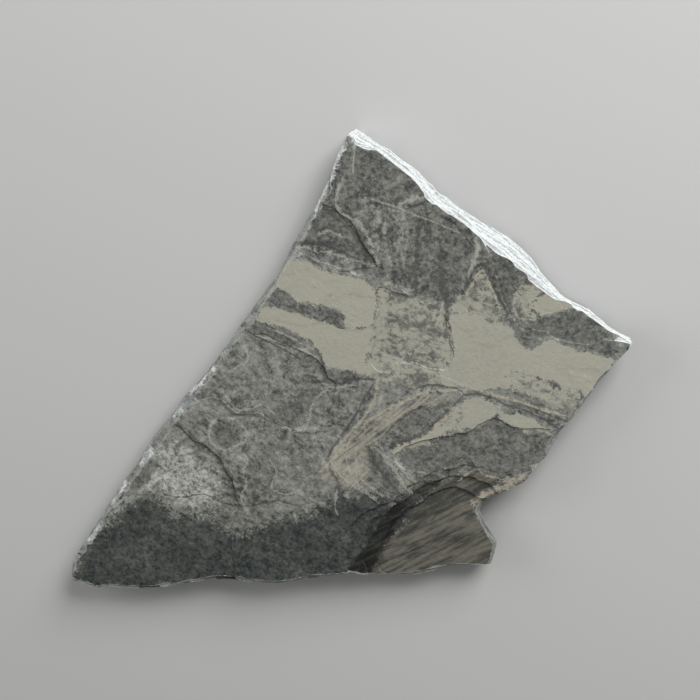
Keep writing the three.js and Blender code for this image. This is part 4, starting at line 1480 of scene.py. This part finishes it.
flat_tooth = bench.plus(
    bench.times(grain["Tooth"], GRAIN_HEIGHT), bench.times(fold_dark, folded, FOLD_HEIGHT),
    bench.times(masks["tan_field"], TAN_HEIGHT), bench.times(drawn["dark"], CRACK_HEIGHT),
    bench.times(drawn["pale"], LIP_HEIGHT), bench.times(drawn["soft"], SOFT_HEIGHT))
edge_tooth = bench.plus(bench.times(streaks["Tooth"], STREAK_HEIGHT), bench.times(crumbs, CRUMB_HEIGHT))
tooth = bench.mix(is_flat, edge_tooth, flat_tooth, kind="FLOAT")
bump = bench.node("ShaderNodeBump", {"Strength": 1.0, "Distance": TOOTH_DEPTH, "Height": tooth})
surface = bench.node("ShaderNodeBsdfPrincipled", {
    "Base Color": stone_colour, "Roughness": bench.step(grain["Mottle"], *SHEEN_BETWEEN, *ROUGHNESSES),
    "IOR": STONE_IOR, "Specular IOR Level": STONE_SPECULAR, "Normal": bump.outputs[0],
})
bench.node("ShaderNodeOutputMaterial", {"Surface": surface.outputs[0]})
stone_mesh.materials.clear()
stone_mesh.materials.append(slate)
print("the slate material has", len(slate.node_tree.nodes), "nodes")

# %% [markdown]
# ## Studio
# The main lamp is soft and stands low, beyond the upper right of the picture. It skims the face, so that
# the ledges show, and shines straight at the broken edge, which is why that edge is almost white in the
# photograph. A weaker lamp on the left picks out the chipped left edge. A pale floor and an even, pale sky
# fill the shadows.

# %% Floor
FLOOR_SIZE = 6.0
FLOOR_WHITE = (0.45, 0.45, 0.445, 1.0)
FLOOR_ROUGHNESS = 0.9
floor_mesh = bpy.data.meshes.new("studio_floor")
corners = [(x * FLOOR_SIZE, y * FLOOR_SIZE, 0) for x, y in ((-1, -1), (1, -1), (1, 1), (-1, 1))]
floor_mesh.from_pydata(corners, [], [(0, 1, 2, 3)])
floor = bpy.data.objects.new("studio_floor", floor_mesh)
bpy.context.collection.objects.link(floor)
paint = bpy.data.materials.new("floor_paint")
paint.use_nodes = True
painted = paint.node_tree.nodes["Principled BSDF"].inputs
painted["Base Color"].default_value = FLOOR_WHITE
painted["Roughness"].default_value = FLOOR_ROUGHNESS
floor_mesh.materials.append(paint)
print("the floor's corners:", corners)

# %% Lamps
KEY_LAMP = dict(bearing=math.radians(27), rise=math.radians(24), distance=4.0, size=1.8, watts=246)
SIDE_LAMP = dict(bearing=math.radians(125), rise=math.radians(20), distance=4.0, size=2.5, watts=70)


def soft_lamp(name, bearing, rise, distance, size, watts):
    """A square area lamp that stands on a bearing and a rise, and looks at the slab."""
    data = bpy.data.lights.new(name, "AREA")
    data.size = size
    data.energy = watts
    lamp = bpy.data.objects.new(name, data)
    level = math.cos(rise) * distance
    lamp.location = (math.cos(bearing) * level, math.sin(bearing) * level, math.sin(rise) * distance)
    lamp.rotation_euler = Vector(lamp.location).to_track_quat("Z", "Y").to_euler()
    bpy.context.collection.objects.link(lamp)
    return lamp


for name, setting in (("key_lamp", KEY_LAMP), ("side_lamp", SIDE_LAMP)):
    print(name, "stands at", soft_lamp(name, **setting).location[:])

# %% Sky
SKY_WHITE, SKY_STRENGTH = (0.98, 0.98, 0.97, 1.0), 0.3
studio = bpy.data.worlds.new("studio_sky")
bpy.context.scene.world = studio
studio.use_nodes = True
sky = studio.node_tree.nodes["Background"].inputs
sky["Color"].default_value = SKY_WHITE
sky["Strength"].default_value = SKY_STRENGTH
bpy.context.scene.view_settings.view_transform = "Standard"
print("the sky's strength is", SKY_STRENGTH)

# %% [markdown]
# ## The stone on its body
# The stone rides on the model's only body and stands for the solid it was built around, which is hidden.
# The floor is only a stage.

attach(stone, "root")
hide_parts("slab")
